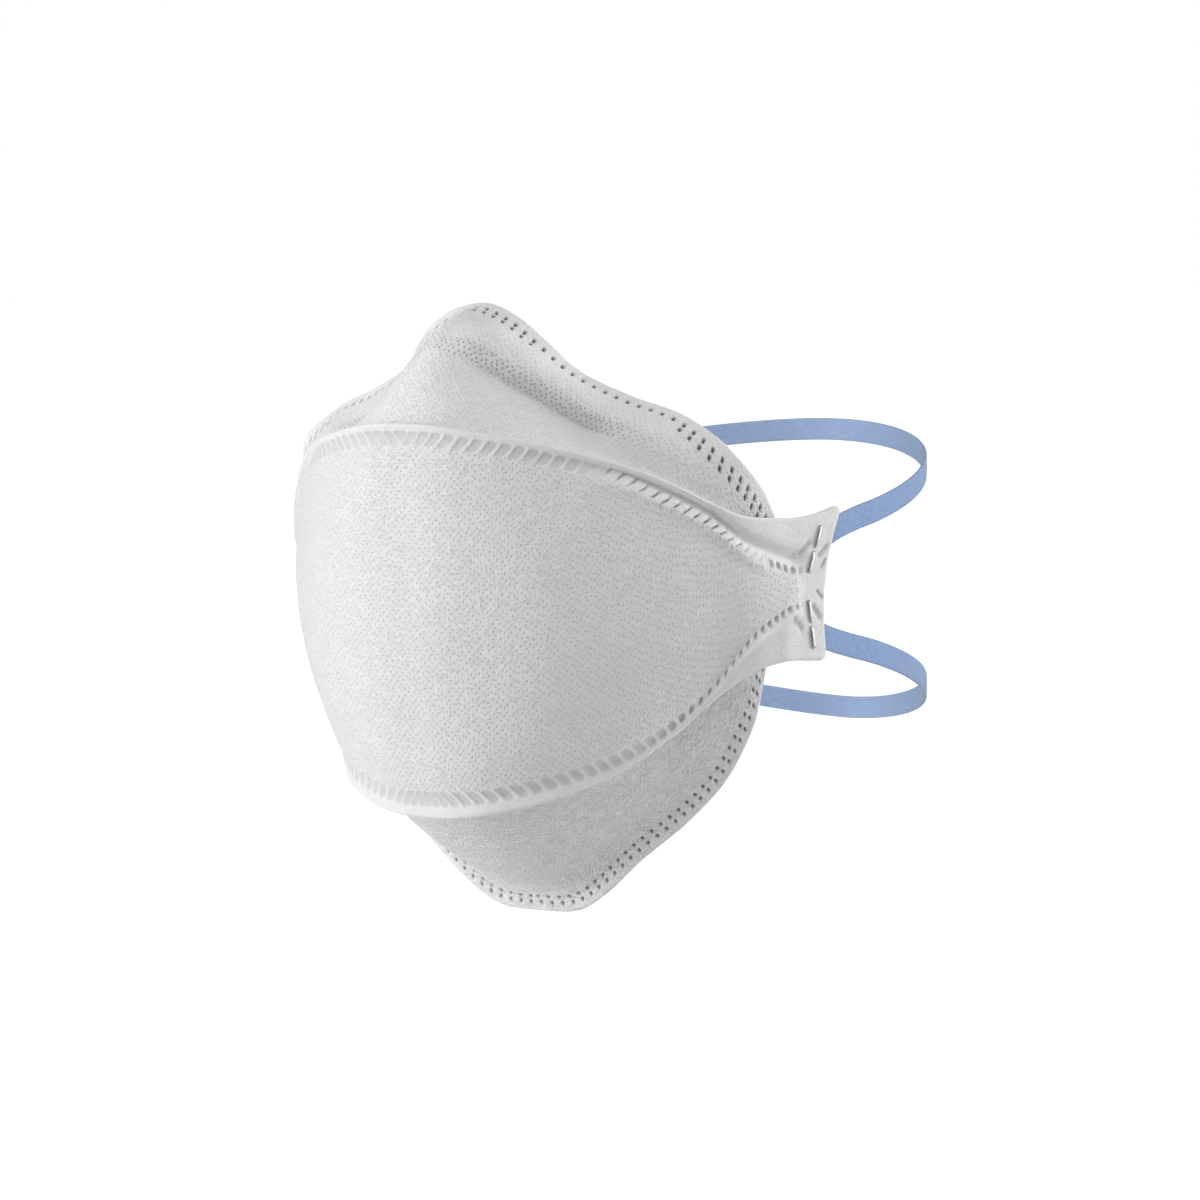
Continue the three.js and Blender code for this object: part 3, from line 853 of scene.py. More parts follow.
    def build(self) -> bpy.types.Object:
        """Build the panel with both tabs as one closed wall."""
        station = self.stations()
        rise = section_line("top_weld", station[:, 0]) - section_line("bottom_weld", station[:, 0])
        height = np.linalg.norm(rise, axis=-1)[:, None]
        distance = self.rows(station, height)
        middle = averaged(partial(self.surface, station), distance, self.soften)
        reach, level = self.tab_grid(middle[-1])
        left = self.tab.point(reach, level)
        base = self.eased_knots(np.vstack([left[::-1] * MIRROR, middle, left]), len(left))
        past_knot = reach.mean(axis=1, keepdims=True)
        dash = self.with_tabs(self.dash_marks(reach, level), np.zeros_like(distance))
        fade = self.with_tabs(1.0 - smooth(past_knot, 0.0, self.seam_fade), np.ones_like(station))
        run_on = self.with_tabs(past_knot, np.zeros_like(station))
        station = self.with_tabs(np.ones_like(past_knot), station)
        distance = self.with_tabs(np.repeat(distance[-1:], len(left), axis=0), distance)
        height = self.with_tabs(np.repeat(height[-1:], len(left), axis=0), height)
        both, outer, pressed = self.relief(station, distance, height, fade, run_on)
        outer -= self.dash_depth * dash
        pressed = np.maximum(pressed, self.dash_shade * dash)
        across = lengths_along(base[:, base.shape[1] // 2])[:, None] * np.ones_like(distance)
        across -= across[len(across) // 2]
        both += ripple(across, distance, self.ripple_height) * blend(self.tab_ripple_share, 1.0, fade)
        half = self.half_thickness(distance)
        front, back = wall_faces(base, both, half, outer * (half > self.thin_rim))
        cloth_map = np.stack([across, distance], axis=-1)
        beyond = np.maximum(distance - height, -distance)
        plain = np.maximum(smooth(beyond, *self.plain_beyond), 1.0 - smooth(fade, *self.plain_faded))
        plain = np.maximum(plain, smooth(pressed, *self.plain_pressed))
        return cloth_wall("front_panel_cloth", front, back, cloth_map, {"pressed": pressed, "plain": plain})

    def eased_knots(self, base: np.ndarray, tab_columns: int) -> np.ndarray:
        """Round the bends at both knots by averaging neighbouring columns with weights exp(-x^2).

        Args:
            base: Points as (columns, rows, 3).
            tab_columns: How many columns belong to each tab.

        Returns:
            The eased points.
        """
        reach, count = self.ease_columns, len(base)
        offsets = np.arange(-reach, reach + 1)
        weights = np.exp(-(offsets / self.ease_spread) ** 2)
        padded = np.pad(base, ((reach, reach), (0, 0), (0, 0)), mode="edge")
        total = sum(w * padded[reach + o:reach + o + count] for o, w in zip(offsets, weights)) / weights.sum()
        place = np.arange(count)
        from_knot = np.minimum(np.abs(place - tab_columns), np.abs(place - (count - 1 - tab_columns)))
        share = 1.0 - smooth(from_knot, *self.eased_within)
        return base + (total - base) * share[:, None, None]

    def dash_marks(self, reach: np.ndarray, height: np.ndarray) -> np.ndarray:
        """Press soft-ended dashes into the tab: 1 close to a dash's line, 0 outside.

        Args:
            reach: Reaches on the tab as (columns, rows).
            height: Heights on the tab as (columns, rows).

        Returns:
            How hard each place is pressed.
        """
        marks = np.zeros_like(reach)
        place = np.stack([reach, height], axis=-1)
        for first_reach, first_height, last_reach, last_height, half_width in self.dashes:
            start = np.array([first_reach, first_height])
            way = np.array([last_reach, last_height]) - start
            part = np.clip(((place - start) @ way) / (way @ way), 0.0, 1.0)
            gap = np.linalg.norm(place - start - part[..., None] * way, axis=-1)
            marks = np.maximum(marks, 1.0 - smooth(gap / half_width, *self.dash_rim))
        return marks


def edge_rows(length: np.ndarray, near_start: tuple[float, ...], near_edge: tuple[float, ...],
              between: int, near_share: float = 0.9, gap: float = 0.5) -> np.ndarray:
    """Place rows from the start of a stretch to its far edge, close together at both.

    Args:
        length: Length of the stretch for each column, as (columns, 1).
        near_start: Distances of the first rows from the start.
        near_edge: Distances of the last rows from the edge, falling.
        between: How many rows lie evenly between the two groups.
        near_share: Most of the length that both groups and the gap may take up.
        gap: Millimetres between the two groups.

    Returns:
        Distances as (columns, rows).
    """
    tight = np.minimum(1.0, near_share * length / (near_start[-1] + near_edge[0] + gap))
    first, last = tight * np.array(near_start), length - tight * np.array(near_edge)
    return np.hstack([first, blend(first[:, -1:], last[:, :1], even_shares(between)), last])


@dataclass
class TopPanel:
    """The nose panel: a dome behind the upper weld, a creased valley and the nose band, stiffened over the
    nose.

    Pairs of values are where a change starts and ends, in stations or in millimetres.
    """

    thickness: float = 1.4
    half_columns: int = 400
    layer_step: float = 1.7
    margin: float = 2.5
    rim_radius: float = 0.7
    flat_size: tuple[float, float] = (0.206, 0.048)
    flat_area: float = 0.0058
    near_weld: tuple[float, ...] = (0.0, 0.5, 1.2)
    below_valley: tuple[float, ...] = (2.4, 1.7, 1.1, 0.6, 0.25)
    above_valley: tuple[float, ...] = (0.0, 0.25, 0.6, 1.1, 1.7, 2.4, 3.2)
    dome_rows: int = 18
    band_rows: int = 9
    dots: WeldDots = WeldDots()
    dots_reach: float = 4.3
    outer_row: float = 0.9
    inner_row: float = 1.9
    inner_shift: float = 0.2
    centre_rows_to: float = 6.3
    side_rows_from: float = 19.7
    far_from: tuple[float, float] = (0.0, 0.12)
    far_hollow: float = 1.8
    hollow_ends: tuple[float, float] = (0.2, 0.42)
    far_share: float = 0.1
    step_height: float = 3.1
    step_over: tuple[float, float] = (-1.2, 3.5)
    step_falls: tuple[float, float] = (0.35, 0.95)
    step_middle: float = 0.35
    step_from: tuple[float, float] = (0.02, 0.14)
    step_ends: tuple[float, float] = (0.45, 0.72)
    neck_dip: float = 1.3
    neck_from: tuple[float, float] = (0.6, 0.95)
    neck_rise: tuple[float, float] = (1.0, 9.0)
    # Where the steep face above the crease gets painted shade and painted speckles: its rise, fall, share in
    # the middle and ends across the mask
    crease_shade_over: tuple[float, float] = (-0.7, 0.5)
    crease_shade_falls: tuple[float, float] = (2.2, 5.0)
    crease_shade_middle: float = 0.45
    crease_shade_from: tuple[float, float] = (0.0, 0.12)
    crease_shade_ends: tuple[float, float] = (0.48, 0.66)
    ripple_height: float = 0.14
    ripple_start: float = 40.0
    map_start: float = 120.0
    plain_share: float = 0.5
    plain_from: tuple[float, float] = (-3.0, 0.0)
    soften: float = 0.9

    def stations(self) -> np.ndarray:
        """Stations of the columns, spaced evenly along the nose edge and the weld together."""
        edge, weld = section_line("nose_edge", FINE_STATIONS), section_line("top_weld", FINE_STATIONS)
        return even_stations(2 * lengths_along(edge) + lengths_along(weld), self.half_columns)

    def lines(self, station: np.ndarray) -> tuple[np.ndarray, np.ndarray, np.ndarray]:
        """Find the points of the weld, one layer further in, of the valley and of the edge."""
        weld = section_line("top_weld", station) - outward("top_weld", station) * self.layer_step
        return weld, section_line("valley", station), section_line("nose_edge", station)

    def surface(self, station: np.ndarray, above: np.ndarray) -> np.ndarray:
        """Follow one column of the panel from the weld over the valley to the edge and past it.

        The dome is the straight rise from the weld to the valley plus swell * sin(pi * part) outward,
        and the nose band is the straight rise to the edge plus its own swell up and outward. On the
        far half the band is hollow instead.

        Args:
            station: Stations as (columns, 1).
            above: Millimetres above the valley as (columns, rows).

        Returns:
            Points as (columns, rows, 3).
        """
        weld, valley, edge = (line[:, None] for line in self.lines(station[:, 0]))
        weld_out = outward("top_weld", station[:, 0])[:, None]
        lift = unit(outward("nose_edge", station[:, 0])[:, None] + UP)
        dome_length = np.linalg.norm(valley - weld, axis=-1)
        band_length = np.linalg.norm(edge - valley, axis=-1)
        part = np.minimum(1.0 + above / dome_length, 1.0)
        share = np.clip(above / band_length, 0.0, 1.0)
        far = smooth(-station, *self.far_from)
        swell = section_size("nose_swell", station) * (1.0 - far)
        swell -= self.far_hollow * far * (1.0 - smooth(-station, *self.hollow_ends))
        points = weld + (valley - weld) * part[..., None] + (edge - valley) * share[..., None]
        points += weld_out * (section_size("dome_swell", station) * np.sin(np.pi * part))[..., None]
        points += lift * (swell * np.sin(np.pi * share))[..., None]
        rim_way = unit(unit(edge - valley) - lift * (np.pi * swell / band_length)[..., None])
        return points + rim_way * np.clip(above - band_length, 0.0, None)[..., None]

    def build(self) -> bpy.types.Object:
        """Build the panel as one closed wall, with its creases softened by averaging along the columns."""
        station = self.stations()
        weld, valley, edge = self.lines(station[:, 0])
        dome_length = np.linalg.norm(valley - weld, axis=-1)[:, None]
        band_length = np.linalg.norm(edge - valley, axis=-1)[:, None]
        near_dots = tuple(np.round(np.arange(self.dots_reach, 0.0, -DOT_ROW_STEP), 2)) + (0.0,)
        lower = edge_rows(dome_length, self.near_weld, self.below_valley, self.dome_rows) - dome_length
        upper = edge_rows(band_length, self.above_valley, near_dots, self.band_rows)
        above = np.hstack([lower, upper, band_length + self.margin * MARGIN_ROWS])
        base = averaged(partial(self.surface, station), above, self.soften)
        from_edge = above - band_length
        along_edge = section_length("nose_edge", station)
        both = self.folds(station, above, band_length)
        both += ripple(along_edge * np.sign(station) + self.ripple_start, above, self.ripple_height)
        pressed = self.pressed_dots(along_edge, from_edge)
        half = self.thickness / 2 * rounding(self.margin - from_edge, self.rim_radius)
        outer, inner = wall_faces(base, both, half, -self.dots.depth * pressed)
        across = np.sign(station) * section_length("top_weld", station) * np.ones_like(above)
        cloth_map = np.stack([across, above + self.map_start], axis=-1)
        plain = self.plain_share * smooth(from_edge, *self.plain_from)
        # The crease band mark places painted shade on the steep face above the crease
        marks = {"pressed": pressed, "plain": plain, "crease_band_shade": self.painted_crease_shade(above, station)}
        return cloth_wall("top_panel_cloth", outer, inner, cloth_map, marks)

    def folds(self, station: np.ndarray, above: np.ndarray, band_length: np.ndarray) -> np.ndarray:
        """Raise the nose band out of the crease and sink the cloth where it meets the neck of the tab.

        Args:
            station: Stations as (columns, 1).
            above: Millimetres above the valley as (columns, rows).
            band_length: Millimetres from the valley to the edge as (columns, 1).

        Returns:
            Heights in millimetres.
        """
        side = np.abs(station)
        strength = blend(self.step_middle, 1.0, smooth(side, *self.step_from))
        strength = strength * (1.0 - smooth(side, *self.step_ends))
        strength = strength * blend(1.0, self.far_share, smooth(-station, *self.far_from))
        up_band = np.clip(above, 0.0, None) / band_length
        step = smooth(above, *self.step_over) * (1.0 - smooth(up_band, *self.step_falls))
        from_weld = above - above[:, :1]
        dip = self.neck_dip * smooth(side, *self.neck_from) * (1.0 - smooth(from_weld, *self.neck_rise))
        return self.step_height * strength * step - dip

    def painted_crease_shade(self, above: np.ndarray, station: np.ndarray) -> np.ndarray:
        """Mark the steep face above the crease for painted shade and painted speckles, as it turns away from
        the light.

        Args:
            above: Millimetres above the valley.
            station: Stations of the columns.

        Returns:
            How strongly each place is marked, from 0 to 1.
        """
        side = np.abs(station)
        there = blend(self.crease_shade_middle, 1.0, smooth(side, *self.crease_shade_from))
        there = there * (1.0 - smooth(side, *self.crease_shade_ends))
        return there * smooth(above, *self.crease_shade_over) * (1.0 - smooth(above, *self.crease_shade_falls))

    def pressed_dots(self, along: np.ndarray, from_edge: np.ndarray) -> np.ndarray:
        """Press the outer row of dots all along the edge, and the inner row at the nose and the cheeks."""
        from_row = from_edge + self.outer_row
        outer_row = self.dots.press(along, from_row)
        inner_row = self.dots.press(along, from_row + self.inner_row, self.inner_shift)
        number = along / self.dots.pitch
        doubled = (number < self.centre_rows_to) | (number > self.side_rows_from)
        return np.maximum(outer_row, inner_row * doubled)


@dataclass
class BottomPanel:
    """The chin panel behind the lower weld, with its squared flap and double row of dots.

    Pairs of values are where a change starts and ends.
    """

    thickness: float = 1.4
    half_columns: int = 380
    layer_step: float = 1.7
    margin: float = 2.6
    rim_radius: float = 0.7
    rim_rows_back: int = 3
    lip_depth: float = 2.2
    lip_reach: float = 7.0
    lip_fades: tuple[float, float] = (0.0, 0.3)
    lip_side_loss: float = 0.7
    lip_side_from: tuple[float, float] = (0.25, 0.6)
    lip_full_length: float = 30.0
    neck_dip: float = 0.9
    neck_from: tuple[float, float] = (0.6, 0.95)
    neck_share: tuple[float, float] = (0.6, 1.0)
    flat_size: tuple[float, float] = (0.206, 0.058)
    flat_area: float = 0.0068
    near_weld: tuple[float, ...] = (1.2, 0.5, 0.0)
    rows_between: int = 20
    dots: WeldDots = WeldDots(half_width=0.42, half_length=0.52, lean=0.1, depth=0.4)
    dots_reach: float = 4.1
    inner_row: float = 1.9
    outer_shift: float = 0.5
    inner_shift: float = 0.35
    ripple_height: float = 0.2
    ripple_start: float = -70.0
    map_start: float = -120.0
    plain_share: float = 0.5
    plain_from: tuple[float, float] = (-3.0, 0.0)

    def stations(self) -> np.ndarray:
        """Stations of the columns, spaced evenly along the chin edge and the weld together."""
        edge, weld = section_line("chin_edge", FINE_STATIONS), section_line("bottom_weld", FINE_STATIONS)
        return even_stations(2 * lengths_along(edge) + lengths_along(weld), self.half_columns)

    def bulge(self, station: np.ndarray, inside: np.ndarray, length: np.ndarray) -> np.ndarray:
        """Work out how far the panel stands down and out from the straight run between edge and weld.

        It is swell * sin(pi * part), less a hollow of lip_depth * x * exp(1 - x) that leaves a lip along
        the edge, where x is the distance from the edge over lip_reach.

        Args:
            station: Stations as (columns, 1).
            inside: Millimetres from the edge as (columns, rows).
            length: Millimetres from the edge to the weld as (columns, 1).

        Returns:
            Heights in millimetres.
        """
        part = 1.0 - inside / length
        x = inside / self.lip_reach
        lip = x * np.exp(1.0 - x) * smooth(part, *self.lip_fades)
        deep = self.lip_depth * (1.0 - self.lip_side_loss * smooth(np.abs(station), *self.lip_side_from))
        lip = lip * deep * np.clip(length / self.lip_full_length, 0.0, 1.0)
        return section_size("chin_swell", station) * np.sin(np.pi * part) - lip

    def build(self) -> bpy.types.Object:
        """Build the panel as one closed wall, from the rim past the chin edge up to the weld."""
        station = self.stations()
        weld_out = outward("bottom_weld", station[:, 0])[:, None]
        weld = section_line("bottom_weld", station[:, 0])[:, None] - weld_out * self.layer_step
        edge = section_line("chin_edge", station[:, 0])[:, None]
        length = np.linalg.norm(edge - weld, axis=-1)
        near_dots = (0.0,) + tuple(np.round(np.arange(DOT_ROW_STEP, self.dots_reach, DOT_ROW_STEP), 2))
        inside = edge_rows(length, near_dots, self.near_weld, self.rows_between)
        run = weld + (edge - weld) * (1.0 - inside / length)[..., None]
        run += unit(weld_out - UP) * self.bulge(station, inside, length)[..., None]
        margin = np.minimum(self.margin, length / 2)
        beyond = margin * MARGIN_ROWS[::-1]
        back = self.rim_rows_back
        rim = edge + unit(run[:, :1] - run[:, back:back + 1]) * beyond[..., None]
        base = np.concatenate([rim, run], axis=1)
        inside = np.hstack([-beyond, inside])
        along = section_length("chin_edge", station)
        across = along * np.sign(station)
        pressed = np.maximum(self.dots.press(along, inside, self.outer_shift),
                             self.dots.press(along, inside - self.inner_row, self.inner_shift))
        both = ripple(across + self.ripple_start, inside, self.ripple_height)
        neck = smooth(np.abs(station), *self.neck_from) * smooth(inside / length, *self.neck_share)
        both -= self.neck_dip * neck
        half = self.thickness / 2 * rounding(inside + margin, self.rim_radius)
        outer, inner = wall_faces(base, both, half, -self.dots.depth * pressed)
        cloth_map = np.stack([across * np.ones_like(inside), inside + self.map_start], axis=-1)
        marks = {"pressed": pressed, "plain": self.plain_share * smooth(-inside, *self.plain_from)}
        return cloth_wall("bottom_panel_cloth", outer, inner, cloth_map, marks)


def swept(name: str, centre: np.ndarray, wide: np.ndarray, thick: np.ndarray, half_width: np.ndarray,
          half_thickness: np.ndarray, sides: int = 16, squareness: float = 0.35) -> bpy.types.Object:
    """Carry a rounded flat section along a path and close both ends.

    The section is the superellipse (cos t)^q wide + (sin t)^q thick, with signs kept.

    Args:
        name: Name of the object.
        centre: Points of the path in millimetres.
        wide: Direction of the section's width at each point.
        thick: Direction of its thickness at each point.
        half_width: Half the width at each point.
        half_thickness: Half the thickness at each point.
        sides: How many points the section has.
        squareness: The power q: 1 gives an ellipse, towards 0 a rectangle.

    Returns:
        The closed bar as one object, with the length along it and the place round it as its UV map, and
        the face that looks against the thickness marked as its inner one.
    """
    turn = np.linspace(0.0, 2 * np.pi, sides, endpoint=False) + np.pi / sides
    a = np.sign(np.cos(turn)) * np.abs(np.cos(turn)) ** squareness
    b = np.sign(np.sin(turn)) * np.abs(np.sin(turn)) ** squareness
    ring = (centre[:, None] + wide[:, None] * (half_width[:, None] * a)[..., None]
            + thick[:, None] * (half_thickness[:, None] * b)[..., None])
    count = len(centre)
    numbers = np.arange(count * sides).reshape(count, sides)
    looped = np.hstack([numbers, numbers[:, :1]])
    tops = np.array([count * sides, count * sides + 1])
    points = np.vstack([ring.reshape(-1, 3), centre[0], centre[-1]])
    faces = grid_faces(looped, True).tolist()
    for end, top, turned in ((0, tops[0], False), (count - 1, tops[1], True)):
        corners = np.stack([looped[end, 1:], looped[end, :-1], np.full(sides, top)], axis=-1)
        faces += (corners[:, ::-1] if turned else corners).tolist()
    run = lengths_along(centre)
    mapped = np.stack([np.repeat(run, sides), np.tile(a, count) * np.repeat(half_width, sides)], axis=-1)
    mapped = np.vstack([mapped, [run[0], 0.0], [run[-1], 0.0]])
    inner = np.append(np.tile(b < 0, count), [0.0, 0.0])
    return mesh_object(name, points, faces, mapped, {"inner": inner})


@dataclass
class Headband:
    """A flat elastic band from the inside of the left tab round the back of the head to the right one."""

    level: Level
    half_width: float
    back_reach: float
    roundness: float
    tab_end_reach: float
    heights: tuple[float, float, float]
    loop_height: float
    rise: float
    lift: float
    start_reach: float = 3.6
    staple_reach: float = 6.3
    loop_start: float = 31.7
    width: float = 5.8
    thickness: float = 0.7
    band_level: float = -1.35
    loop_steps: int = 16
    steps: int = 420
    tab: TabPlane = TabPlane()

    def route(self) -> np.ndarray:
        """Lay out the left half and its mirror: three points on the tab, then a superellipse.

        Its x is half_width * cos(t)^(2/n), and y rises with sin(t)^(2/n) from the tab to the back.

        Returns:
            Points in millimetres from the left tab to the right one.
        """
        on_tab = self.tab.point(np.array([self.start_reach, self.staple_reach, self.tab_end_reach]),
                                np.array(self.heights), self.band_level)
        angle = np.pi / 2 * np.arange(1, self.loop_steps + 1) / self.loop_steps
        part = np.sin(angle) ** (2 / self.roundness)
        x = self.half_width * np.clip(np.cos(angle), 0.0, None) ** (2 / self.roundness)
        y = self.loop_start + (self.back_reach - self.loop_start) * part
        z = self.loop_height + self.rise * part + self.lift * part ** 2
        left = np.vstack([on_tab, np.stack([x, y, z], axis=-1)])
        return np.vstack([left, left[-2::-1] * MIRROR])

    def build(self) -> bpy.types.Object:
        """Sweep the band's flat section along its route."""
        place = np.linspace(0.0, 1.0, self.steps)
        route = spline(self.route(), place, centripetal=True)
        along = unit(np.gradient(route, axis=0))
        out = unit(np.cross(along, UP))
        tall = unit(np.cross(out, along))
        size = np.ones(self.steps)
        return swept(f"{self.level.value}_band_elastic", route, tall, out, size * self.width / 2,
                     size * self.thickness / 2)


@dataclass
class Staple:
    """A wire staple: its crown over the band inside, its points bent over outside the tab."""

    level: Level
    side: Side
    reach: float
    height: float
    lean: float
    span: float = 12.0
    wire_width: float = 0.84
    wire_thickness: float = 0.5
    outside: float = 0.98
    crown: float = -2.35
    bend: float = 0.75
    tip_gap: float = 0.7
    bow: float = 0.08
    tip_sink: float = 0.14
    taper_share: float = 0.35
    taper_length: float = 1.3
    tab: TabPlane = TabPlane()

    def outline(self) -> tuple[np.ndarray, np.ndarray]:
        """Lay out the wire from one point of the staple to the other.

        Returns:
            Two arrays: distance along the crown and level out of the tab.
        """
        end = self.span / 2 - self.wire_thickness / 2
        arc = np.linspace(0.0, np.pi / 2, 7)
        tip = self.tip_gap / 2
        leg = np.linspace(tip, end - self.bend, 9)
        share = (leg - leg[0]) / (leg[-1] - leg[0])
        level = self.outside + self.bow * np.sin(np.pi * share) - self.tip_sink * (1.0 - share) ** 2
        sine, cosine = self.bend * np.sin(arc), self.bend * np.cos(arc)
        high = np.stack([end - self.bend + sine[1:], level[-1] - self.bend + cosine[1:]], axis=-1)
        low = np.stack([end - self.bend + cosine, self.crown + self.bend - sine], axis=-1)
        half = np.vstack([np.stack([leg, level], axis=-1), high, low])
        whole = np.vstack([half, half[::-1] * np.array([-1.0, 1.0])])
        return whole[:, 0], whole[:, 1]

    def build(self) -> bpy.types.Object:
        """Sweep the wire's section along the outline, tapered at both points."""
        across, level = self.outline()
        lean = math.radians(self.lean)
        way = UP * math.cos(lean) - self.tab.along * math.sin(lean)
        place = self.tab.point(self.reach, self.height)
        path = place + across[:, None] * way + level[:, None] * self.tab.out
        sideways = np.cross(way, self.tab.out)
        along = unit(np.gradient(path, axis=0))
        run = lengths_along(path)
        from_tip = np.minimum(run, run[-1] - run)
        taper = blend(self.taper_share, 1.0, smooth(from_tip, 0.0, self.taper_length))
        wide = np.repeat(sideways[None], len(path), axis=0)
        if self.side is Side.RIGHT:
            path, along, wide = (path * MIRROR)[::-1], -(along * MIRROR)[::-1], (wide * MIRROR)[::-1]
            taper = taper[::-1]
        thick = unit(np.cross(wide, along))
        name = f"{self.level.value}_staple_wire_{self.side.value}"
        return swept(name, path, wide, thick, taper * self.wire_width / 2, taper * self.wire_thickness / 2,
                     sides=12, squareness=0.6)


class NodeBench:
    """Adds and links shader nodes in one node tree."""

    def __init__(self, tree: bpy.types.NodeTree) -> None:
        """Work in the given tree."""
        self.tree = tree

    def add(self, kind: str, inputs: dict | None = None, **settings: object) -> bpy.types.Node:
        """Add a node.

        Args:
            kind: The node's type name.
            inputs: Values or output sockets for its inputs, by name or number.
            settings: Properties of the node itself.

        Returns:
            The new node.
        """
        node = self.tree.nodes.new(kind)
        for name, value in settings.items():
            setattr(node, name, value)
        self.fill(node, inputs or {})
        return node

    def fill(self, node: bpy.types.Node, inputs: dict) -> None:
        """Set or link inputs of a node, by name or number."""
        for key, value in inputs.items():
            if isinstance(value, bpy.types.NodeSocket):
                self.tree.links.new(value, node.inputs[key])
            else:
                node.inputs[key].default_value = value

    def math(self, operation: str, first: object, second: object = 0.0) -> bpy.types.NodeSocket:
        """Add a maths node and return its result."""
        return self.add("ShaderNodeMath", {0: first, 1: second}, operation=operation).outputs[0]

    def fade(self, value: object, low: object, high: float, start: float = 0.0,
             end: float = 1.0) -> bpy.types.NodeSocket:
        """Ease a value from start at low to end at high.

        Args:
            value: The socket to read.
            low: Where the change starts.
            high: Where it ends.
            start: Result at low.
            end: Result at high.

        Returns:
            The eased value.
        """
        ends = {"Value": value, "From Min": low, "From Max": high, "To Min": start, "To Max": end}
        return self.add("ShaderNodeMapRange", ends, interpolation_type="SMOOTHSTEP").outputs[0]

    def attribute(self, name: str) -> bpy.types.NodeSocket:
        """Read a mesh attribute."""
        return self.add("ShaderNodeAttribute", attribute_name=name).outputs["Fac"]

    def noise(self, place: object, **settings: object) -> bpy.types.NodeSocket:
        """Add a flat noise with settings such as scale, detail, roughness and distortion."""
        inputs = {"Vector": place, "Scale": 1.0}
        inputs.update((key.capitalize(), value) for key, value in settings.items())
        return self.add("ShaderNodeTexNoise", inputs, noise_dimensions="2D").outputs["Fac"]

    def stretched(self, place: object, scale: tuple[float, float],
                  turn: float = 0.0) -> bpy.types.NodeSocket:
        """Scale a flat place along both of its directions, then turn it."""
        inputs = {"Vector": place, "Rotation": (0.0, 0.0, turn), "Scale": (*scale, 1.0)}
        return self.add("ShaderNodeMapping", inputs).outputs[0]

    def mix(self, share: object, first: object, second: object) -> bpy.types.NodeSocket:
        """Mix two colours, each a socket or three numbers."""
        first, second = (c + (1.0,) if isinstance(c, tuple) else c for c in (first, second))
        return self.add("ShaderNodeMix", {"Factor": share, 6: first, 7: second}, data_type="RGBA").outputs[2]

    def bump(self, height: object, strength: float, distance: float) -> bpy.types.NodeSocket:
        """Tilt the surface by a height that stands for a distance in metres."""
        inputs = {"Strength": strength, "Distance": distance, "Height": height}
        return self.add("ShaderNodeBump", inputs).outputs[0]


def shader_group(name: str, inputs: dict[str, float | None],
                 outputs: tuple[str, ...]) -> bpy.types.NodeTree:
    """Make an empty shader node group with named sockets.

    Args:
        name: Name of the group.
        inputs: Default of each number, or None for a vector.
        outputs: Names of the number outputs.

    Returns:
        The group's node tree, with its input and output nodes in place.
    """
    tree = bpy.data.node_groups.new(name, "ShaderNodeTree")
    for label, default in inputs.items():
        kind = "NodeSocketVector" if default is None else "NodeSocketFloat"
        socket = tree.interface.new_socket(label, in_out="INPUT", socket_type=kind)
        if default is not None:
            socket.default_value = default
    for label in outputs:
        tree.interface.new_socket(label, in_out="OUTPUT", socket_type="NodeSocketFloat")
    tree.nodes.new("NodeGroupInput")
    tree.nodes.new("NodeGroupOutput")
    return tree


@dataclass(frozen=True)
class BondedCloth:
    """The nonwoven surface that the cloths share: a grid of bond dimples in a felt of fine fibres.

    The dimples are cells of a grid turned by 45 degrees, the fibres are the lines where three stretched
    and bent noises cross their middle value, and slow noise makes the felt cloudy. Each row of strands
    holds the turn, the stretch and the density of one noise.
    """

    randomness: float = 0.45
    dimple_core: float = 0.04
    dimple_depth: float = 1.5
    strands: tuple[tuple[float, ...], ...] = ((0.35, 3.4, 1.2), (-0.95, 3.0, 1.45), (1.65, 2.6, 1.0))
    fibre_width: float = 0.13
    cloud_height: float = 1.4

    def group(self) -> bpy.types.NodeTree:
        """Build the shared node group."""
        sockets = {"Place": None, "Pitch": 1.15, "Dimple": 0.22, "Fibre": 1.0, "Cloud": 0.5}
        tree = shader_group("bonded_cloth", sockets, ("Height", "Dimples", "Fibres", "Clouds"))
        bench = NodeBench(tree)
        source, sink = tree.nodes["Group Input"], tree.nodes["Group Output"]
        place = source.outputs["Place"]
        turned = bench.add("ShaderNodeVectorRotate", {"Vector": place, "Angle": math.pi / 4},
                           rotation_type="Z_AXIS").outputs[0]
        scale = bench.math("DIVIDE", 1.0, source.outputs["Pitch"])
        cells = bench.add("ShaderNodeTexVoronoi", {"Vector": turned, "Scale": scale,
                                                   "Randomness": self.randomness},
                          voronoi_dimensions="2D").outputs["Distance"]
        dimples = bench.fade(cells, source.outputs["Dimple"], self.dimple_core)
        fibres = 0.0
        for turn, stretch, density in self.strands:
            laid = bench.stretched(place, (density / stretch, density), turn)
            noise = bench.noise(laid, detail=2.0, roughness=0.6, distortion=0.9)
            from_middle = bench.math("ABSOLUTE", bench.math("SUBTRACT", noise, 0.5))
            strand = bench.fade(from_middle, 0.0, self.fibre_width, 1.0, 0.0)
            fibres = bench.math("MAXIMUM", fibres, strand)
        cloud = bench.noise(place, scale=source.outputs["Cloud"], detail=3.0, roughness=0.55)
        height = bench.math("MULTIPLY", fibres, source.outputs["Fibre"])
        lowered = bench.math("SUBTRACT", height, bench.math("MULTIPLY", dimples, self.dimple_depth))
        clouded = bench.math("ADD", lowered, bench.math("MULTIPLY", cloud, self.cloud_height))
        bench.fill(sink, {"Height": clouded, "Dimples": dimples, "Fibres": fibres, "Clouds": cloud})
        return tree


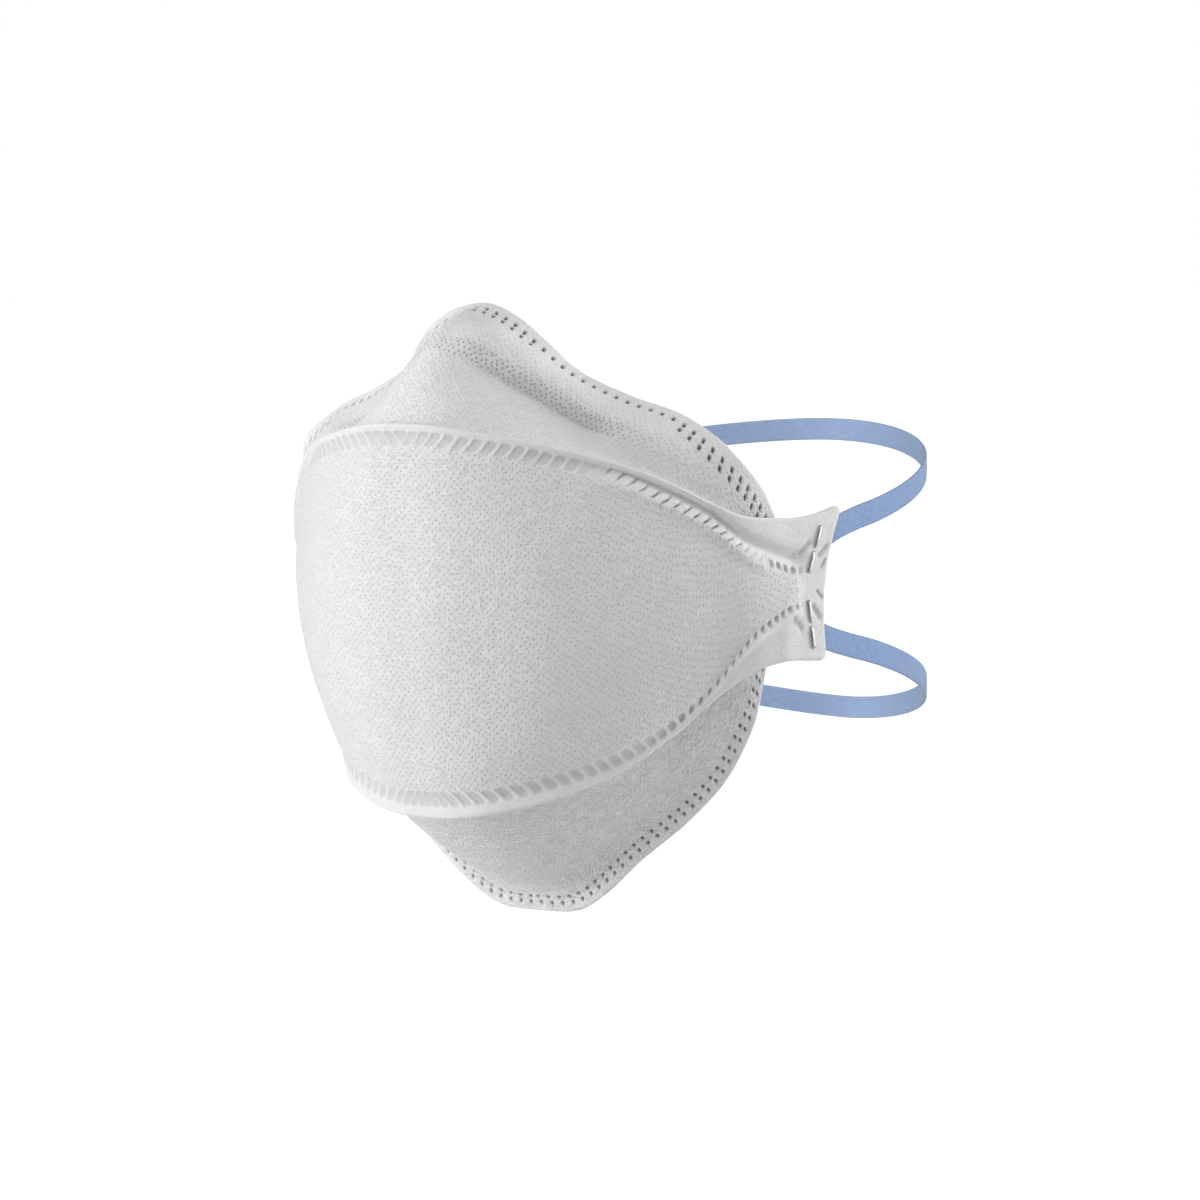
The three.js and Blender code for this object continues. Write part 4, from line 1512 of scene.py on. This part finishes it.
@dataclass(frozen=True)
class ClothFinish:
    """Matt white nonwoven with bond dimples, darker in them as painted shade, greyer where a weld has pressed
    it flat with painted shade in the welds' pits and notches, and with painted shade and speckles on the
    steep face above the nose crease.
    """

    name: str
    colour: tuple[float, float, float] = (0.89, 0.886, 0.88)
    pressed_colour: tuple[float, float, float] = (0.09, 0.09, 0.09)
    pitch: float = 1.3
    dimple: float = 0.25
    fibre: float = 0.7
    # Painted shade in the bond dimples
    dimple_painted_shade: float = 0.42
    gap_shade: float = 0.12
    cloud_shade: float = 0.05
    # The darker colour that the painted shade and the cloth's own cloudy and fibrous tone mix towards
    tone_and_shade_share: float = 0.5
    plain_relief: float = 0.25
    crease_painted_shade: float = 0.32
    crease_painted_speckle: float = 1.3
    bump: float = 0.6
    bump_height: float = 0.00022
    roughness: float = 0.93
    specular: float = 0.25
    sheen: float = 0.08
    sheen_roughness: float = 0.5

    def material(self, group: bpy.types.NodeTree) -> bpy.types.Material:
        """Build the material round the shared cloth group.

        Args:
            group: The shared cloth group.

        Returns:
            The finished material.
        """
        material, bench, surface = new_material(self.name)
        place = bench.add("ShaderNodeUVMap", uv_map="cloth").outputs[0]
        sockets = {"Place": place, "Pitch": self.pitch, "Dimple": self.dimple, "Fibre": self.fibre}
        cloth = bench.add("ShaderNodeGroup", sockets, node_tree=group)
        dimples, plain = cloth.outputs["Dimples"], bench.attribute("plain")
        # Painted shade in the dimples, less where the cloth is plain
        shade = bench.math("MULTIPLY", dimples, bench.fade(plain, 0.0, 1.0, self.dimple_painted_shade, 0.0))
        cloudy = bench.fade(cloth.outputs["Clouds"], 0.3, 0.7, self.cloud_shade, 0.0)
        # Painted shade and painted speckles on the steep face above the nose crease
        crease_speckle_shade = bench.math("MULTIPLY", dimples, self.crease_painted_speckle)
        crease_speckle_shade = bench.math("ADD", crease_speckle_shade, self.crease_painted_shade)
        # tight holds the painted shade of the steep face above the nose crease
        tight = bench.math("MULTIPLY", bench.attribute("crease_band_shade"), crease_speckle_shade)
        between = bench.fade(cloth.outputs["Fibres"], 0.0, 1.0, self.gap_shade, 0.0)
        darker = bench.math("ADD", bench.math("ADD", shade, cloudy), bench.math("ADD", tight, between))
        # Painted shade mixes towards this darker colour, together with the cloth's own cloudy tone and the
        # gaps between fibres
        tone_and_shade_colour = tuple(c * self.tone_and_shade_share for c in self.colour)
        woven = bench.mix(bench.math("SUBTRACT", 1.0, darker), tone_and_shade_colour, self.colour)
        # The pressed mark greys the welds and dots, and also paints shade into the welds' pits and notches
        colour = bench.mix(bench.attribute("pressed"), woven, self.pressed_colour)
        relief = bench.fade(plain, 0.0, 1.0, 1.0, self.plain_relief)
        height = bench.math("MULTIPLY", cloth.outputs["Height"], relief)
        bench.fill(surface, {"Base Color": colour, "Normal": bench.bump(height, self.bump, self.bump_height),
                             "Roughness": self.roughness, "Specular IOR Level": self.specular,
                             "Sheen Weight": self.sheen, "Sheen Roughness": self.sheen_roughness})
        return material


@dataclass(frozen=True)
class ElasticFinish:
    """Matt blue elastic with fine lengthwise ribs and crosswise grain, with painted light on its inner face,
    which is painted paler.
    """

    name: str
    colour: tuple[float, float, float] = (0.16, 0.265, 0.5)
    light_colour: tuple[float, float, float] = (0.24, 0.36, 0.61)
    # Painted light: the paler colour of the inner face and how much of it shows
    inner_painted_light_colour: tuple[float, float, float] = (0.38, 0.51, 0.77)
    inner_painted_light_share: tuple[float, float] = (0.6, 0.95)
    rib_scale: tuple[float, float] = (0.35, 3.2)
    grain_scale: tuple[float, float] = (3.0, 0.8)
    rib_share: float = 0.6
    grain_share: float = 0.4
    bump: float = 0.4
    bump_height: float = 0.0001
    roughness: float = 0.62
    specular: float = 0.35
    sheen: float = 0.6
    sheen_roughness: float = 0.4
    sheen_tint: tuple[float, float, float, float] = (0.75, 0.85, 1.0, 1.0)

    def material(self) -> bpy.types.Material:
        """Build the material from stretched noise on the band's own map."""
        material, bench, surface = new_material(self.name)
        place = bench.add("ShaderNodeUVMap", uv_map="cloth").outputs[0]
        ribs = bench.noise(bench.stretched(place, self.rib_scale), detail=3.0, roughness=0.6)
        grain = bench.noise(bench.stretched(place, self.grain_scale), detail=2.0)
        both = bench.math("ADD", bench.math("MULTIPLY", ribs, self.rib_share),
                          bench.math("MULTIPLY", grain, self.grain_share))
        outer = bench.mix(bench.fade(both, 0.35, 0.65), self.colour, self.light_colour)
        # Painted light on the inner face: it is mixed towards the paler colour
        share = bench.fade(both, 0.3, 0.7, *self.inner_painted_light_share)
        colour = bench.mix(bench.math("MULTIPLY", bench.attribute("inner"), share), outer, self.inner_painted_light_colour)
        bench.fill(surface, {"Base Color": colour, "Normal": bench.bump(both, self.bump, self.bump_height),
                             "Roughness": self.roughness, "Specular IOR Level": self.specular,
                             "Sheen Weight": self.sheen, "Sheen Roughness": self.sheen_roughness,
                             "Sheen Tint": self.sheen_tint})
        return material


@dataclass(frozen=True)
class WireFinish:
    """Drawn steel wire with fine scratches along it."""

    name: str
    colour: tuple[float, float, float] = (0.55, 0.54, 0.52)
    dull_share: float = 0.72
    scratch_scale: tuple[float, float] = (0.6, 9.0)
    roughness: tuple[float, float] = (0.24, 0.48)
    bump: float = 0.3
    bump_height: float = 0.00005

    def material(self) -> bpy.types.Material:
        """Build the material with roughness and tone that vary along the wire."""
        material, bench, surface = new_material(self.name)
        place = bench.add("ShaderNodeUVMap", uv_map="cloth").outputs[0]
        scratches = bench.noise(bench.stretched(place, self.scratch_scale), detail=3.0)
        roughness = bench.fade(scratches, 0.3, 0.7, *self.roughness)
        dull = tuple(c * self.dull_share for c in self.colour)
        colour = bench.mix(bench.fade(scratches, 0.3, 0.7), self.colour, dull)
        bench.fill(surface, {"Base Color": colour, "Roughness": roughness, "Metallic": 1.0,
                             "Normal": bench.bump(scratches, self.bump, self.bump_height)})
        return material


def new_material(name: str) -> tuple[bpy.types.Material, NodeBench, bpy.types.Node]:
    """Make a node material with one Principled surface.

    Args:
        name: Name of the material.

    Returns:
        The material, a bench for its nodes and its surface node.
    """
    material = bpy.data.materials.new(name)
    material.use_nodes = True
    material.node_tree.nodes.clear()
    bench = NodeBench(material.node_tree)
    surface = bench.add("ShaderNodeBsdfPrincipled")
    bench.add("ShaderNodeOutputMaterial", {"Surface": surface.outputs[0]})
    return material, bench, surface


@dataclass
class Studio:
    """The pale floor, soft lights and camera round the mask."""

    target: tuple[float, float, float] = (0.00135, 0.0390, -0.0061)
    azimuth: float = math.radians(33.0)
    elevation: float = math.radians(4.3)
    distance: float = 1.2
    view_width: float = 0.29412
    floor_height: float = -0.6
    floor_size: float = 40.0
    world_strength: float = 0.22
    sensor_width: float = 36.0
    # Lamps: how far right, up and towards the camera from the target, in metres, then size and power
    lamps: tuple[tuple[float, ...], ...] = (
        (-1.22, 0.0, 0.42, 1.0, 11.9), (0.02, 0.98, 0.70, 0.9, 5.2), (0.98, 0.12, -0.06, 0.9, 7.6))

    def directions(self) -> tuple[Vector, Vector]:
        """Directions from the target to the camera and to the camera's right."""
        flat, sine, cosine = math.cos(self.elevation), math.sin(self.azimuth), math.cos(self.azimuth)
        back = Vector((sine * flat, -cosine * flat, math.sin(self.elevation)))
        return back, Vector((cosine, sine, 0.0))

    @staticmethod
    def aimed(place: Vector, towards: Vector) -> Matrix:
        """Matrix of a lamp or camera at a place that looks towards a point."""
        turn = (towards - place).to_track_quat("-Z", "Y").to_matrix().to_4x4()
        return Matrix.Translation(place) @ turn

    def set_camera(self) -> None:
        """Add the camera at the photograph's angle, with the frame's width at the target's distance."""
        data = bpy.data.cameras.new("studio_camera")
        data.sensor_width = self.sensor_width
        data.sensor_fit = "HORIZONTAL"
        data.lens = self.sensor_width * self.distance / self.view_width
        data.clip_start, data.clip_end = 0.01, 50.0
        camera = bpy.data.objects.new("studio_camera", data)
        bpy.context.scene.collection.objects.link(camera)
        back, _ = self.directions()
        target = Vector(self.target)
        camera.matrix_world = self.aimed(target + back * self.distance, target)
        bpy.context.scene.camera = camera

    def set_lights(self) -> None:
        """Add the large soft lamps: the strongest at the picture's left, one above and one at the right."""
        back, right = self.directions()
        upward = back.cross(right)
        target = Vector(self.target)
        for number, (rightward, high, near, size, power) in enumerate(self.lamps):
            data = bpy.data.lights.new(f"studio_lamp_{number}", "AREA")
            data.shape = "DISK"
            data.size = size
            data.energy = power
            lamp = bpy.data.objects.new(f"studio_lamp_{number}", data)
            bpy.context.scene.collection.objects.link(lamp)
            place = target + right * rightward + upward * high + back * near
            lamp.matrix_world = self.aimed(place, target)

    def set_surroundings(self) -> None:
        """Add the even white surroundings, which light the mask less than they show."""
        world = bpy.data.worlds.new("studio_world")
        bpy.context.scene.world = world
        world.use_nodes = True
        world.node_tree.nodes.clear()
        bench = NodeBench(world.node_tree)
        seen = bench.add("ShaderNodeLightPath").outputs["Is Camera Ray"]
        strength = bench.fade(seen, 0.0, 1.0, self.world_strength, 1.0)
        sky = bench.add("ShaderNodeBackground", {"Color": (1.0, 1.0, 1.0, 1.0), "Strength": strength})
        bench.add("ShaderNodeOutputWorld", {"Surface": sky.outputs[0]})

    def set_floor(self) -> None:
        """Add the plain pale floor, a wide disc far below the mask that the camera sees as white."""
        turn = np.linspace(0.0, 2 * np.pi, 96, endpoint=False)
        rim = np.stack([np.cos(turn), np.sin(turn), np.zeros_like(turn)], axis=-1) * self.floor_size
        rim[:, 2] = self.floor_height
        floor = mesh_object("studio_floor", rim / MM, [list(range(len(rim)))])
        material, bench, surface = new_material("pale_floor")
        seen = bench.add("ShaderNodeLightPath").outputs["Is Camera Ray"]
        bench.fill(surface, {"Base Color": (0.8, 0.8, 0.8, 1.0), "Roughness": 0.9,
                             "Emission Color": (1.0, 1.0, 1.0, 1.0), "Emission Strength": seen})
        floor.data.materials.append(material)

    def build(self) -> None:
        """Set up everything round the mask."""
        self.set_camera()
        self.set_lights()
        self.set_surroundings()
        self.set_floor()
        bpy.context.scene.view_settings.view_transform = "Standard"


HEADBANDS = (
    Headband(Level.UPPER, half_width=72.2, back_reach=152.4, roundness=1.87, tab_end_reach=13.0,
             heights=(8.1, 10.0, 13.7), loop_height=15.0, rise=12.8, lift=4.2),
    Headband(Level.LOWER, half_width=71.2, back_reach=164.0, roundness=1.71, tab_end_reach=10.9,
             heights=(-7.4, -8.9, -11.0), loop_height=-12.5, rise=-22.2, lift=-8.0),
)
# Reach and height of each staple's middle on its tab, and its lean in degrees
STAPLES = {Level.UPPER: (6.3, 9.8, -19.0), Level.LOWER: (5.3, -7.8, 8.0)}


def dress(piece: bpy.types.Object, material: bpy.types.Material, node: str) -> None:
    """Give a piece its finish, hang it under the root body and hide the CAD part that it replaces.

    Args:
        piece: The finished piece.
        material: Its material.
        node: The CAD node that it replaces.
    """
    piece.data.materials.append(material)
    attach(piece, "root")
    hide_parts(node)
    LOG.info("%s: %d faces", piece.name, len(piece.data.polygons))


def main() -> None:
    """Build the surroundings and every piece of the respirator."""
    logging.basicConfig(level=logging.INFO, format="%(name)s: %(message)s")
    Studio().build()
    group = BondedCloth().group()
    front_cloth = ClothFinish("front_nonwoven").material(group)
    nose_cloth = ClothFinish("nose_nonwoven", colour=(0.925, 0.922, 0.915), pitch=1.15, dimple=0.3,
                             dimple_painted_shade=0.22, bump=0.6).material(group)
    chin_cloth = ClothFinish("chin_nonwoven", colour=(0.93, 0.93, 0.93), pitch=1.15, dimple=0.24,
                             fibre=1.2, dimple_painted_shade=0.1, pressed_colour=(0.22, 0.22, 0.22),
                             bump=0.8).material(group)
    elastic = ElasticFinish("blue_elastic").material()
    wire = WireFinish("staple_steel").material()
    cloths = ((FrontPanel(), front_cloth, "panel_cloth", "front_panel"),
              (TopPanel(), nose_cloth, "panel_cloth", "top_panel"),
              (BottomPanel(), chin_cloth, "chin_cloth", "bottom_panel"))
    for panel, material, slot, node in cloths:
        piece = panel.build()
        dress(piece, material, node)
    for band in HEADBANDS:
        dress(band.build(), elastic, f"{band.level.value}_headband")
    for level, (reach, height, lean) in STAPLES.items():
        for side in Side:
            staple = Staple(level, side, reach, height, lean)
            dress(staple.build(), wire, f"{level.value}_staple_{side.value}")


if __name__ == "__main__":
    main()
